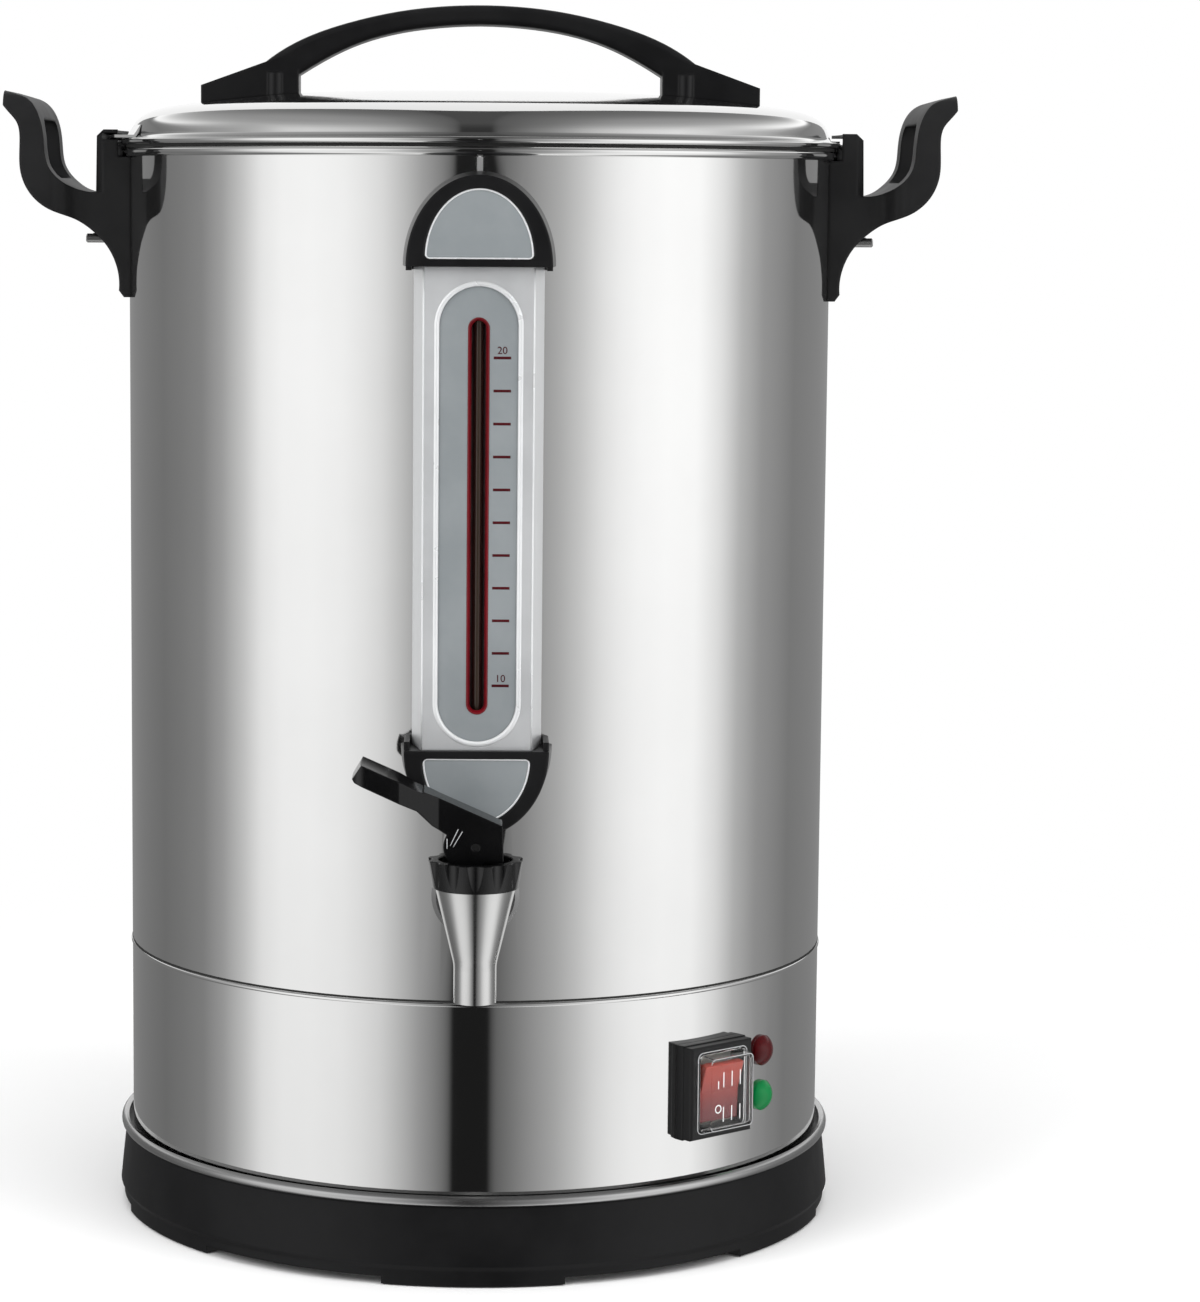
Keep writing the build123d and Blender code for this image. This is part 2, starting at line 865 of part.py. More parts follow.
def red_lamp_lens():
    return lamp_lens(lamp_heights[0])


def green_lamp_lens():
    return lamp_lens(lamp_heights[1])


def lamp_holders():
    """Sockets that grip the lens stems from inside the skirt."""
    top = sqrt(inner_radius**2 - lamp_holder_radius**2) - fit
    holders = Part()
    for height in lamp_heights:
        can = bar_z(lamp_holder_radius, top - lamp_depth, top)
        can -= bar_z(lamp_stem + fit, inner_radius - lamp_rim - fit, top + overrun)
        holders += on_front(Pos(0, height, 0) * can, lamp_angle)
    return holders


def stadium(half, bottom, top, depth, amount):
    """Upright slot-shaped prism on the front, between two heights, from a depth outward."""
    middle = Pos(0, (bottom + top) / 2, depth) * Rot(0, 0, 90)
    return extrude(middle * SlotOverall(top - bottom, half * 2), amount=amount)


def gauge_frame():
    """Satin grey frame with sloping sides, a recess for the scale and a channel for the tube."""
    back = sqrt(shell_radius**2 - gauge_base_half**2) - overrun
    front = shell_radius + gauge_depth
    section = Polyline(
        (-gauge_base_half, gauge_bottom, back),
        (-gauge_front_half, gauge_bottom, front),
        (gauge_front_half, gauge_bottom, front),
        (gauge_base_half, gauge_bottom, back),
        close=True,
    )
    frame = extrude(make_face(section), amount=gauge_top - gauge_bottom, dir=(0, 1, 0))
    frame -= stadium(plate_half, plate_bottom, plate_top, front - plate_recess, overrun * 2)
    frame -= stadium(slot_half, slot_bottom, slot_top, shell_radius, gauge_depth * 2)
    channel_low = (-gauge_channel_half, gauge_bottom - overrun, 0)
    frame -= block(channel_low, (gauge_channel_half, gauge_top + overrun, front - gauge_face))
    return on_front(frame) - vessel_core()


def gauge_scale_plate():
    """Thin plate with a slot for the tube, seated in the frame's recess."""
    base = shell_radius + gauge_depth - plate_recess
    half = plate_half - plate_room
    plate = stadium(half, plate_bottom + plate_room, plate_top - plate_room, base, plate_sheet)
    return on_front(plate - stadium(slot_half, slot_bottom, slot_top, base - overrun, overrun * 4))


def gauge_red_strip():
    """Red backing behind the tube, lying on the vessel."""
    low = (-red_strip_half, gauge_bottom + slip, shell_radius)
    high = (red_strip_half, gauge_top - slip, shell_radius + red_strip_sheet)
    return on_front(block(low, high))


def gauge_tube_span():
    """Lowest and highest point of the glass tube."""
    return socket_boss_top - seal_length, gauge_top + cap_cavity_height


def gauge_tube():
    low, high = gauge_tube_span()
    tube = bar_z(tube_radius, low, high, tube_offset, -tube_place)
    return tube - bar_z(tube_bore, low - overrun, high + overrun, tube_offset, -tube_place)


def gauge_tube_seals():
    """Sleeves round both ends of the tube, in the socket below and in the top cap."""
    low, high = gauge_tube_span()
    seals = Part()
    for bottom in (low, high - seal_length):
        ring = bar_z(seal_radius, bottom, bottom + seal_length, tube_offset, -tube_place)
        bore = bar_z(tube_radius + fit, bottom - overrun, high + overrun, tube_offset, -tube_place)
        seals += ring - bore
    return seals


def half_oval(half, rise, base, depth, corner=0):
    """Face of a half ellipse that stands on a straight edge at a height, rising or hanging."""
    arc = EllipticalCenterArc((0, 0), half, abs(rise), 0, arc_size=180)
    face = make_face([arc, Line((-half, 0), (half, 0))])
    if corner:
        face = fillet(face.vertices(), corner)
    if rise < 0:
        face = Rot(180, 0, 0) * face
    return Pos(0, base, depth) * face


def cap_insert_shape(rise, base, grow):
    """Half oval of the grey insert of a cap, its border kept from the cap's outline."""
    side = 1 if rise > 0 else -1
    half = cap_half * cap_front_share - cap_border + grow
    tall = abs(rise) - cap_border - cap_bar + grow * 2
    return half, side * tall, base + side * (cap_bar - grow)


def gauge_cap(rise, base, horn):
    """Black end cap: tapered half oval with an insert recess, a tube cavity and two side horns."""
    side = 1 if rise > 0 else -1
    back = sqrt(shell_radius**2 - cap_half**2) - overrun
    front = shell_radius + cap_depth
    wide = half_oval(cap_half, rise, base, back).face()
    narrow = half_oval(cap_half * cap_front_share, rise * cap_front_share, base, front).face()
    if wide.normal_at().Z * narrow.normal_at().Z < 0:
        narrow = -narrow
    cap = loft([wide, narrow], ruled=True)
    horn_inside = gauge_base_half + horn_gap
    for hand in (-1, 1):
        low_x, high_x = sorted((hand * horn_inside, hand * cap_half * cap_front_share))
        low_y, high_y = sorted((base - side * horn, base + side * cap_bar))
        cap += block((low_x, low_y, back), (high_x, high_y, front - cap_bar))
    half, tall, start = cap_insert_shape(rise, base, 0)
    recess = half_oval(half, tall, start, front - insert_recess, insert_corner)
    cap -= extrude(recess, amount=overrun * 2, dir=(0, 0, 1))
    reach = sorted((base - side * overrun, base + side * cap_cavity_height))
    cap -= block((-cap_cavity, reach[0], 0), (cap_cavity, reach[1], tube_place + seal_radius + fit))
    return on_front(cap) - vessel_core()


def gauge_screw_places():
    """Places (x, height) of the screws behind the two inserts, a pair in each cap."""
    top = gauge_top + cap_top_rise * cap_screw_share
    bottom = gauge_bottom - cap_bottom_drop * cap_screw_share
    return [(side * cap_screw_pitch / 2, height) for height in (top, bottom) for side in (-1, 1)]


def screw_holes(cap):
    """Cap with through holes and sunk seats for the screws behind its insert."""
    sunk = shell_radius + cap_depth - insert_recess - screw_head
    for x, height in gauge_screw_places():
        cap -= bar_y(screw_radius + fit, -shell_radius * 2, -inner_radius / 2, x, height)
        cap -= bar_y(screw_head_radius + fit, -shell_radius * 2, -sunk, x, height)
    return cap


def gauge_top_cap():
    return screw_holes(gauge_cap(cap_top_rise, gauge_top, horn_top))


def gauge_bottom_cap():
    """Lower cap, with a hole for the tube to pass down to its socket."""
    cap = screw_holes(gauge_cap(-cap_bottom_drop, gauge_bottom, horn_bottom))
    passage = tube_radius + slip
    return cap - bar_z(passage, socket_boss_top, gauge_bottom, tube_offset, -tube_place)


def cap_insert(rise, base):
    """Grey insert in a cap's recess."""
    half, tall, start = cap_insert_shape(rise, base, -slip / 4)
    seat = shell_radius + cap_depth - insert_recess
    face = half_oval(half, tall, start, seat, insert_corner)
    return on_front(extrude(face, amount=insert_sheet, dir=(0, 0, 1)))


def gauge_top_insert():
    return cap_insert(cap_top_rise, gauge_top)


def gauge_bottom_insert():
    return cap_insert(-cap_bottom_drop, gauge_bottom)


def gauge_screws():
    """Screws behind the inserts, through the caps and the vessel wall."""
    sunk = shell_radius + cap_depth - insert_recess - screw_head
    one = front_view * Pos(0, 0, sunk) * Rot(180, 0, 0) * screw(sunk - inner_radius + screw_bite / 2)
    return Part() + [Pos(x, 0, height) * one for x, height in gauge_screw_places()]


def gauge_hanger():
    """Small steel strip that ties the top cap to the underside of the rim bead."""
    wide, thick = hanger_size
    low = gauge_top + cap_top_rise * cap_front_share
    high = rim_height - rim_bead_height - hanger_gap
    strip = block((-wide / 2, low, shell_radius + fit), (wide / 2, high, shell_radius + fit + thick))
    strip = on_front(strip)
    return strip - gauge_cap(cap_top_rise, gauge_top, horn_top)


def tap_spin(*corners):
    """Turned solid about the tap's upright axis."""
    return Pos(0, -tap_reach, 0) * spin(*corners)


def spout_radius_at(height):
    """Outer radius of the tapered spout at a height."""
    return spout_radius + spout_flare * (height - spout_waist) / spout_cone


def tap_body():
    """Polished spout with its valve seat, neck and shank in one casting."""
    body = tap_spin(
        (0, spout_outlet),
        (spout_radius, spout_outlet),
        (spout_radius, spout_waist),
        (spout_top_radius, spout_top),
        (neck_radius, spout_top),
        (neck_radius, neck_top),
        (0, neck_top),
    )
    waist = [e for e in body.edges().filter_by(GeomType.CIRCLE) if abs(e.center().Z - spout_waist) < fit]
    body = fillet(waist, spout_straight)
    shank_end = -inner_radius + shank_inside
    body += bar_y(shank_radius, -tap_reach, shank_end, z=shank_height)
    body -= tap_spin(
        (0, spout_outlet - overrun),
        (spout_bore, spout_outlet - overrun),
        (spout_bore, seat_height),
        (spout_radius_at(seat_height) - spout_wall, seat_height),
        (neck_radius - spout_wall, spout_top),
        (neck_radius - spout_wall, neck_top + overrun),
        (0, neck_top + overrun),
    )
    body -= bar_y(shank_bore, -tap_reach, shank_end + overrun, z=shank_height)
    return body - gauge_passage()


def gauge_passage():
    """Upright drilling from the shank's bore to the gauge socket."""
    return bar_z(socket_passage, shank_height, socket_boss_top, tube_offset, -tube_place)


def gauge_socket():
    """Collar on the shank with an upright boss that carries the gauge tube."""
    back = -shell_radius - socket_washer
    front = -shell_radius - socket_front
    collar = bar_y(socket_radius, front, back, z=shank_height)
    collar = chamfer(collar.edges().group_by(Axis.Y)[0], socket_washer)
    boss = bar_z(socket_boss, shank_height, socket_boss_top, tube_offset, -tube_place)
    collar += boss
    collar -= bar_y(shank_radius + fit, front - overrun, back + overrun, z=shank_height)
    seat = gauge_tube_span()[0]
    collar -= bar_z(seal_radius + fit, seat, socket_boss_top + overrun, tube_offset, -tube_place)
    return collar - gauge_passage()


def tap_washers():
    """Flat washers on the shank, outside and inside the vessel wall."""
    outer = bar_y(socket_radius - socket_washer, -shell_radius - socket_washer, -shell_radius, z=shank_height)
    seat = washer_seat()
    inner = bar_y(tap_washer_radius, seat, seat + tap_washer, z=shank_height)
    hole = bar_y(shank_radius + fit, -shell_radius * 2, 0, z=shank_height)
    return Part() + [outer - hole, inner - hole]


def washer_seat():
    """Depth at which a flat washer meets the curved inside of the wall."""
    return -sqrt(inner_radius**2 - tap_washer_radius**2) + fit


def tap_nut():
    """Hexagon nut on the shank inside the vessel."""
    hexagon = RegularPolygon(tap_nut_size, 6) - Circle(shank_radius + fit)
    nut = Rot(-90, 0, 0) * extrude(hexagon, amount=tap_nut_length)
    return Pos(0, washer_seat() + tap_washer, shank_height) * nut


def tap_bonnet():
    """Fluted black cup over the neck, with a web that guides the stem and a recess for the lever."""
    cup = tap_spin(
        (neck_radius + fit, spout_top),
        (bonnet_foot_radius, spout_top),
        (bonnet_top_radius, bonnet_top),
        (bonnet_recess_radius, bonnet_top),
        (bonnet_recess_radius, web_top),
        (stem_radius + fit, web_top),
        (stem_radius + fit, neck_top),
        (neck_radius + fit, neck_top),
    )
    middle = (bonnet_foot_radius + bonnet_top_radius) / 2 + flute_radius - flute_depth
    flute = bar_z(flute_radius, spout_top - overrun, bonnet_top + overrun, x=middle)
    return cup - [Pos(0, -tap_reach, 0) * cut for cut in around(flute, flute_count)]


def tap_seat_cup():
    """Silicone plunger that closes the spout's bore."""
    top = seat_height + seat_cup_length
    return tap_spin(
        (0, seat_height),
        (seat_cup_radius, seat_height),
        (seat_cup_radius, seat_height + seat_cup_length / 3),
        (seat_cup_top_radius, top),
        (stem_radius + fit, top),
        (stem_radius + fit, seat_height + seat_cup_length / 2),
        (0, seat_height + seat_cup_length / 2),
    )


def tap_spring():
    """Compression spring between the plunger and the bonnet's web."""
    low = seat_height + seat_cup_length + spring_wire
    high = neck_top - spring_wire
    path = Helix((high - low) / spring_turns, high - low, spring_radius)
    start = Plane(path @ 0, z_dir=path % 0)
    coil = sweep(start * Circle(spring_wire), path=path)
    return Pos(0, -tap_reach, low) * coil


def tap_stem():
    """Rod from the plunger through the bonnet to the lever's pin."""
    low = seat_height + seat_cup_length / 2
    rod = bar_z(stem_radius, low, pivot_height + stem_eye)
    rod = chamfer(rod.edges().group_by(Axis.Z)[-1], stem_radius / 4)
    rod -= bar_y(pivot_radius + fit, -stem_radius - overrun, stem_radius + overrun, z=pivot_height)
    return Pos(0, -tap_reach, 0) * rod


def tap_pivot_pin():
    return Pos(0, -tap_reach, 0) * bar_y(pivot_radius, -lever_hub_half, lever_hub_half, z=pivot_height)


def tap_lever():
    """Black lever with a dished thumb pad, a forked hub and a heel that lifts the stem."""
    corners = [(x * lever_length, 0, z * lever_rise) for x, z in lever_profile_shares]
    profile = make_face(Polyline(*corners, close=True))
    bar = extrude(profile, amount=lever_tip_half, dir=(0, 1, 0), both=True)
    bar += bar_y(cam_radius, -lever_tip_half, lever_tip_half, x=-cam_offset)
    neck = lever_length * lever_neck_share
    flare = lever_length * lever_flare_share
    right = lever_length * lever_end_share
    plan = Polyline(
        (right, -lever_hub_half),
        (right, lever_hub_half),
        (-neck, lever_hub_half),
        (-flare, lever_tip_half),
        (-lever_length, lever_tip_half),
        (-lever_length, -lever_tip_half),
        (-flare, -lever_tip_half),
        (-neck, -lever_hub_half),
        close=True,
    )
    plan = make_face(plan)
    tip = plan.vertices().group_by(Axis.X)[0]
    plan = fillet(tip, lever_tip_corner)
    bar &= extrude(plan, amount=lever_length, both=True)
    tip_x, tip_z = lever_profile_shares[1]
    heel_x, heel_z = lever_profile_shares[2]
    tip_at = (tip_x * lever_length, tip_z * lever_rise)
    slope = degrees(asin((tip_z - heel_z) * lever_rise / lever_top_length()))
    reach = lever_top_length() * dish_reach_share
    dish_radius = (lever_tip_half**2 + dish_depth**2) / (dish_depth * 2)
    dish = Pos(0, 0, dish_radius - dish_depth) * Rot(0, 90, 0) * Cylinder(dish_radius, reach * 2)
    bar -= Pos(tip_at[0], 0, tip_at[1]) * Rot(0, slope, 0) * dish
    fork = stem_radius + fork_room
    crown = sqrt(stem_radius**2 + stem_eye**2) + fork_room
    bar -= bar_y(crown, -fork, fork)
    bar -= block((-lever_length, -fork, -lever_rise), (fork, fork, 0))
    bar -= bar_y(pivot_radius + fit, -lever_tip_half, lever_tip_half)
    return Pos(0, -tap_reach, pivot_height) * bar


def lever_top_length():
    """Length of the lever's straight top edge."""
    tip_x, tip_z = lever_profile_shares[1]
    heel_x, heel_z = lever_profile_shares[2]
    return sqrt(((tip_x - heel_x) * lever_length) ** 2 + ((tip_z - heel_z) * lever_rise) ** 2)


def handle_point(share):
    """Place on the right-hand handle's side view, from shares of its reach and rise."""
    return shell_radius + share[0] * handle_reach, 0, handle_bottom + share[1] * handle_rise


def handle_side_view():
    """Outline of bracket, arm and grip in the XZ plane, on the right-hand side."""
    outer = [handle_point(s) for s in handle_outer_shares]
    inner = [handle_point(s) for s in handle_inner_shares]
    tip = handle_point((1.0, 1.0))
    post = [handle_point(s) for s in post_shares]
    inside = inner_radius - handle_bracket_half
    closing = Polyline(
        inner[-1],
        *post,
        (inside, 0, post[-1][2]),
        (inside, 0, handle_bottom),
        handle_point((bracket_foot_share, 0)),
        outer[0],
    )
    return make_face([Spline(*outer), Polyline(outer[-1], tip, inner[0]), Spline(*inner), closing])


def right_handle():
    """Moulded handle: bracket against the vessel, hook over the lid's tab, arm and slotted grip."""
    body = extrude(handle_side_view(), amount=handle_grip_half, dir=(0, 1, 0), both=True)
    near, far = (shell_radius + handle_reach * share for share in handle_flare_shares)
    end = shell_radius + handle_reach + overrun
    flare = Spline((near, -handle_bracket_half), (far, -handle_grip_half), tangents=((1, 0), (1, 0)))
    front = Polyline((0, 0), (0, -handle_bracket_half), flare @ 0)
    outside = Polyline(flare @ 1, (end, -handle_grip_half), (end, 0), (0, 0))
    half_plan = make_face([front, flare, outside])
    plan = half_plan + mirror(half_plan, Plane.XZ)
    top = handle_bottom + handle_rise
    body &= extrude(Pos(0, 0, handle_bottom - overrun) * plan, amount=handle_rise + overrun * 2)
    face_height = handle_rise * 2
    face = RectangleRounded(handle_grip_half * 2, face_height, grip_corner)
    body &= end_view * Pos(0, top - face_height / 2, 0) * extrude(face, amount=end)
    slot_low, slot_high = (handle_bottom + handle_rise * share for share in grip_slot_shares)
    slot = RectangleRounded(grip_slot_half * 2, slot_high - slot_low, grip_slot_corner)
    slot_start = shell_radius + handle_reach * grip_slot_start_share
    slot = end_view * Pos(0, (slot_low + slot_high) / 2, slot_start) * extrude(slot, amount=handle_reach)
    body -= slot
    post_top = handle_point(post_shares[-1])[2]
    arm = handle_point(handle_inner_shares[-1])
    post_out = handle_point(post_shares[0])[0]
    for side in (-1, 1):
        edge = Pos(post_out, side * handle_bracket_half, (arm[2] + post_top) / 2) * Rot(0, 0, 45)
        body -= edge * Box(post_chamfer, post_chamfer, post_top - arm[2])
    slot_base = flange_base + lid_flange_height - tab_room / 2
    notch_low = rim_height - rim_bead_height - bracket_notch
    body -= bar_z(bracket_face, notch_low, top + overrun)
    low = (inner_radius - handle_bracket_half, -tab_width / 2 - tab_room, slot_base)
    body -= block(low, (tab_tip_radius + tab_room, handle_grip_half, slot_base + tab_sheet + tab_room * 2))
    for side in (-1, 1):
        y = side * bolt_pitch / 2
        body -= bar_x(bolt_radius + fit, 0, end, y, bolt_height)
        body -= bar_x(nut_radius + nut_room, shell_radius + nut_seat, end, y, bolt_height)
    return body - vessel_core()


def left_handle():
    return Rot(0, 0, 180) * right_handle()


def both_sides(shape):
    """A right-hand piece and its half-turn copy on the left."""
    return [shape, Rot(0, 0, 180) * shape]


def handle_bolts():
    """Bolts from inside the vessel through wall and bracket, their tips standing out."""
    head_edge = bolt_pitch / 2 + bolt_head_radius
    seat = sqrt(inner_radius**2 - head_edge**2) - fit
    bolts = Part()
    for side in (-1, 1):
        y = side * bolt_pitch / 2
        bolt = bar_x(bolt_radius, seat, shell_radius + bolt_tip, y, bolt_height)
        bolt = chamfer(bolt.edges().group_by(Axis.X)[-1], bolt_radius / 4)
        bolt += bar_x(bolt_head_radius, seat - bolt_head, seat, y, bolt_height)
        bolts += both_sides(bolt)
    return bolts


def handle_nuts():
    """Hexagon nuts in the brackets' pockets."""
    hexagon = RegularPolygon(nut_radius, 6) - Circle(bolt_radius + fit)
    nut = Rot(0, 90, 0) * extrude(hexagon, amount=nut_length)
    nuts = Part()
    for side in (-1, 1):
        placed = Pos(shell_radius + nut_seat, side * bolt_pitch / 2, bolt_height) * nut
        nuts += both_sides(placed)
    return nuts


def lid_curve(inset):
    """Half of the dome's section from the axis to the shoulder, moved in by an inset."""
    radius = lid_shoulder_radius - inset
    top = lid_top - inset
    points = [(r * radius, 0, top - drop * lid_drop) for r, drop in lid_dome_shares]
    return Spline(*points, tangents=((1, 0, 0), (0.45, 0, -0.9)))


def lid_dome_space(inset):
    """The whole space under the dome, down to the flange's underside."""
    curve = lid_curve(inset)
    low = flange_base + inset
    outer = curve @ 1
    rest = Polyline(outer, (outer.X, 0, low), (0, 0, low), curve @ 0)
    return revolve(make_face([curve, rest]), Axis.Z)


def lid_flare(grow):
    """Hollow sweep from the foot of the dome out on to the flange, moved out by a small growth."""
    inside = lid_shoulder_radius - lid_flare_reach
    near = lid_shoulder_radius + grow
    head = (near, 0, lid_base + lid_flare_rise)
    foot = (near + lid_flare_reach, 0, lid_base)
    hollow = (near + lid_flare_reach * lid_flare_share, 0, lid_base + lid_flare_rise * lid_flare_share)
    sweep = ThreePointArc(head, hollow, foot)
    rest = Polyline(foot, (inside, 0, lid_base), (inside, 0, lid_base + lid_flare_rise), head)
    return revolve(make_face([sweep, rest]), Axis.Z)


def lid_shell():
    """Domed lid of steel sheet with a rounded flange and a spigot inside the rim."""
    spigot = inner_radius - lid_spigot_gap
    dome = lid_dome_space(0)
    flange = bar_z(lid_flange_radius, flange_base, lid_base)
    rims = flange.edges().filter_by(GeomType.CIRCLE)
    flange = fillet(rims, lid_flange_height * lid_flange_share)
    lid = dome + flange + lid_flare(0) + bar_z(spigot, flange_base - lid_spigot, flange_base)
    lid -= lid_dome_space(sheet_thickness)
    lid -= bar_z(spigot - sheet_thickness, flange_base - lid_spigot - overrun, flange_base + sheet_thickness)
    hole_top = lid_top + overrun
    for x, y in lid_post_places():
        lid -= bar_z(screw_radius + fit, flange_base, hole_top, x, y)
    return lid


def lid_seal():
    """Dark silicone ring between the rim and the lid's flange."""
    inside = inner_radius + fit
    return spin(
        (inside, rim_height),
        (inner_radius + rim_land, rim_height),
        (inner_radius + rim_land, flange_base),
        (inside, flange_base),
    )


def lid_post_places():
    """Places of the four screw posts in the feet of the lid's handle."""
    x = lid_handle_half * post_centre_share
    y = lid_handle_width / 2 - post_radius / 2
    return [(a * x, b * y) for a in (-1, 1) for b in (-1, 1)]


def lid_handle_outline():
    """Side view of the lid's handle: arch, two sloping feet and the finger gap below the arch."""
    def place(x, z):
        return x * lid_handle_half, 0, lid_handle_foot + z * lid_handle_rise

    def mirrored(shares):
        left = [place(-x, z) for x, z in shares]
        right = [place(x, z) for x, z in reversed(shares[:-1])]
        return left + right

    arch = mirrored(lid_handle_arch_shares)
    grip = mirrored(lid_handle_grip_shares)
    sunk = -lid_handle_tip_share
    foot_in = lid_handle_grip_shares[0][0]
    left = Polyline(
        arch[0],
        place(-1.0, lid_handle_tip_share),
        place(-1.0, sunk),
        place(-foot_in, sunk),
        grip[0],
    )
    right = Polyline(
        grip[-1],
        place(foot_in, sunk),
        place(1.0, sunk),
        place(1.0, lid_handle_tip_share),
        arch[-1],
    )
    return make_face([Spline(*arch), left, Spline(*grip), right])


def lid_handle():
    """Black arched handle on the lid, with round screw posts at its feet."""
    body = extrude(lid_handle_outline(), amount=lid_handle_width / 2, dir=(0, 1, 0), both=True)
    long_edges = [
        e
        for e in body.edges().filter_by(GeomType.BSPLINE)
        if abs(abs(e.center().Y) - lid_handle_width / 2) < fit
    ]
    body = fillet(long_edges, lid_handle_edge)
    top = lid_handle_foot + lid_handle_rise * post_top_share
    low = lid_handle_foot
    for x, y in lid_post_places():
        body += bar_z(post_radius, low, top, x, y)
    body -= lid_dome_space(-fit)
    pilot = lid_screw_seat() + screw_bite + slip
    for x, y in lid_post_places():
        body -= bar_z(screw_radius + fit, flange_base, pilot, x, y)
    return body


def lid_screw_seat():
    """Height of the dome's underside at the outermost edge of the screw heads."""
    x, y = lid_post_places()[0]
    reach = sqrt(x**2 + y**2) + screw_head_radius
    share = reach / (lid_shoulder_radius - sheet_thickness)
    (low_share, low_drop), (high_share, high_drop) = [
        pair
        for pair in zip(lid_dome_shares, lid_dome_shares[1:])
        if pair[0][0] <= share <= pair[1][0]
    ][0]
    drop = low_drop + (high_drop - low_drop) * (share - low_share) / (high_share - low_share)
    return lid_top - sheet_thickness - drop * lid_drop - slip / 2


def lid_handle_screws():
    one = screw(screw_bite)
    return Part() + [Pos(x, y, lid_screw_seat()) * one for x, y in lid_post_places()]


def lid_tabs():
    """Bent steel strips on the lid's shoulder that turn under the hooks of the handles."""
    low = lid_base + tab_gap
    foot = shell_radius + slip
    lean = tab_grip * tab_lean_share
    strip = Polyline(
        (foot - lean, 0, low + tab_grip),
        (foot, 0, low),
        (tab_tip_radius, 0, low),
        (tab_tip_radius, 0, low + tab_sheet),
        (foot + tab_sheet / 2, 0, low + tab_sheet),
        (foot - lean + tab_sheet, 0, low + tab_grip + tab_sheet / 2),
        close=True,
    )
    tab = extrude(make_face(strip), amount=tab_width / 2, dir=(0, 1, 0), both=True)
    tab -= lid_dome_space(-fit)
    tab -= lid_flare(fit)
    return Part() + [Rot(0, 0, tab_angle + turn) * tab for turn in (0, 180)]


def percolator_stem():
    """Pump tube on a flared foot that stands in the well, with a collar for the basket."""
    low = floor_height - well_depth
    neck = low + stem_foot_height
    foot = spin(
        (stem_foot_radius - stem_foot_sheet, low),
        (stem_foot_radius, low),
        (stem_tube_radius + stem_foot_sheet, neck),
        (stem_tube_radius + stem_foot_sheet, neck + stem_foot_neck),
        (stem_tube_bore, neck + stem_foot_neck),
        (stem_tube_bore, neck - stem_foot_sheet),
    )
    tube = bar_z(stem_tube_radius, neck, stem_top)
    tube += bar_z(collar_radius, basket_seat - collar_height, basket_seat)
    tube -= bar_z(stem_tube_bore, low, stem_top + overrun)
    return foot + tube


def drilled(ring_shares, bottom, top):
    """Upright drillings on rings given as (share of the basket's radius, count)."""
    cuts = []
    for share, count in ring_shares:
        cuts += around(bar_z(hole_radius, bottom, top, x=basket_radius * share), count)
    return cuts


def brew_basket():
    """Coffee basket with a drilled floor, a rolled lip and a sleeve on the pump tube."""
    top = basket_seat + basket_height
    sleeve = stem_tube_radius + fit * 2
    body = spin(
        (sleeve, basket_seat),
        (basket_radius, basket_seat),
        (basket_radius, top - sheet_thickness),
        (basket_radius + basket_lip, top - sheet_thickness),
        (basket_radius + basket_lip, top),
        (basket_radius - sheet_thickness, top),
        (basket_radius - sheet_thickness, basket_seat + sheet_thickness),
        (sleeve + sheet_thickness, basket_seat + sheet_thickness),
        (sleeve + sheet_thickness, basket_seat + basket_height / 2),
        (sleeve, basket_seat + basket_height / 2),
    )
    return body - drilled(basket_ring_shares, basket_seat - overrun, basket_seat + overrun)


def basket_cover():
    """Spreader plate that rests on the basket's lip, drilled to shower the grounds."""
    rest = basket_seat + basket_height
    skirt = basket_radius - sheet_thickness - slip
    sleeve = stem_tube_radius + slip
    body = spin(
        (skirt - sheet_thickness, rest - spreader_skirt),
        (skirt, rest - spreader_skirt),
        (skirt, rest),
        (basket_radius + basket_lip, rest),
        (basket_radius + basket_lip, rest + sheet_thickness),
        (skirt - sheet_thickness, rest + sheet_thickness),
        (sleeve, rest + spreader_crown + sheet_thickness),
        (sleeve, rest + spreader_crown),
        (skirt - sheet_thickness, rest),
    )
    return body - drilled(spreader_ring_shares, rest - overrun, rest + spreader_crown * 2)


nodes = (
    base_moulding,
    foot_pads,
    bottom_cover,
    bottom_cover_screws,
    base_screws,
    base_trim_ring,
    lower_shell,
    tank_wall,
    tank_floor,
    heating_element,
    keep_warm_heater,
    thermostat,
    boil_dry_cutout,
    terminal_block,
    heater_leads,
    cord_gland,
    gland_nut,
    switch_bezel,
    switch_body,
    switch_rocker,
    switch_cover,
    red_lamp_lens,
    green_lamp_lens,
    lamp_holders,
    gauge_frame,
    gauge_scale_plate,
    gauge_red_strip,
    gauge_tube,
    gauge_tube_seals,
    gauge_top_cap,
    gauge_bottom_cap,
    gauge_top_insert,
    gauge_bottom_insert,
    gauge_screws,
    gauge_hanger,
    tap_body,
    gauge_socket,
    tap_washers,
    tap_nut,
    tap_bonnet,
    tap_seat_cup,
    tap_spring,
    tap_stem,
    tap_pivot_pin,
    tap_lever,
    left_handle,
    right_handle,
    handle_bolts,
    handle_nuts,
    lid_shell,
    lid_seal,
    lid_handle,
    lid_handle_screws,
    lid_tabs,
    percolator_stem,
    brew_basket,
    basket_cover,
)

os.makedirs("parts", exist_ok=True)
for make in nodes:
    export_step(make(), f"parts/{make.__name__}.step")
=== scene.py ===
import json
from math import pi, radians

import bpy
import numpy as np
from mathutils import Matrix, Vector


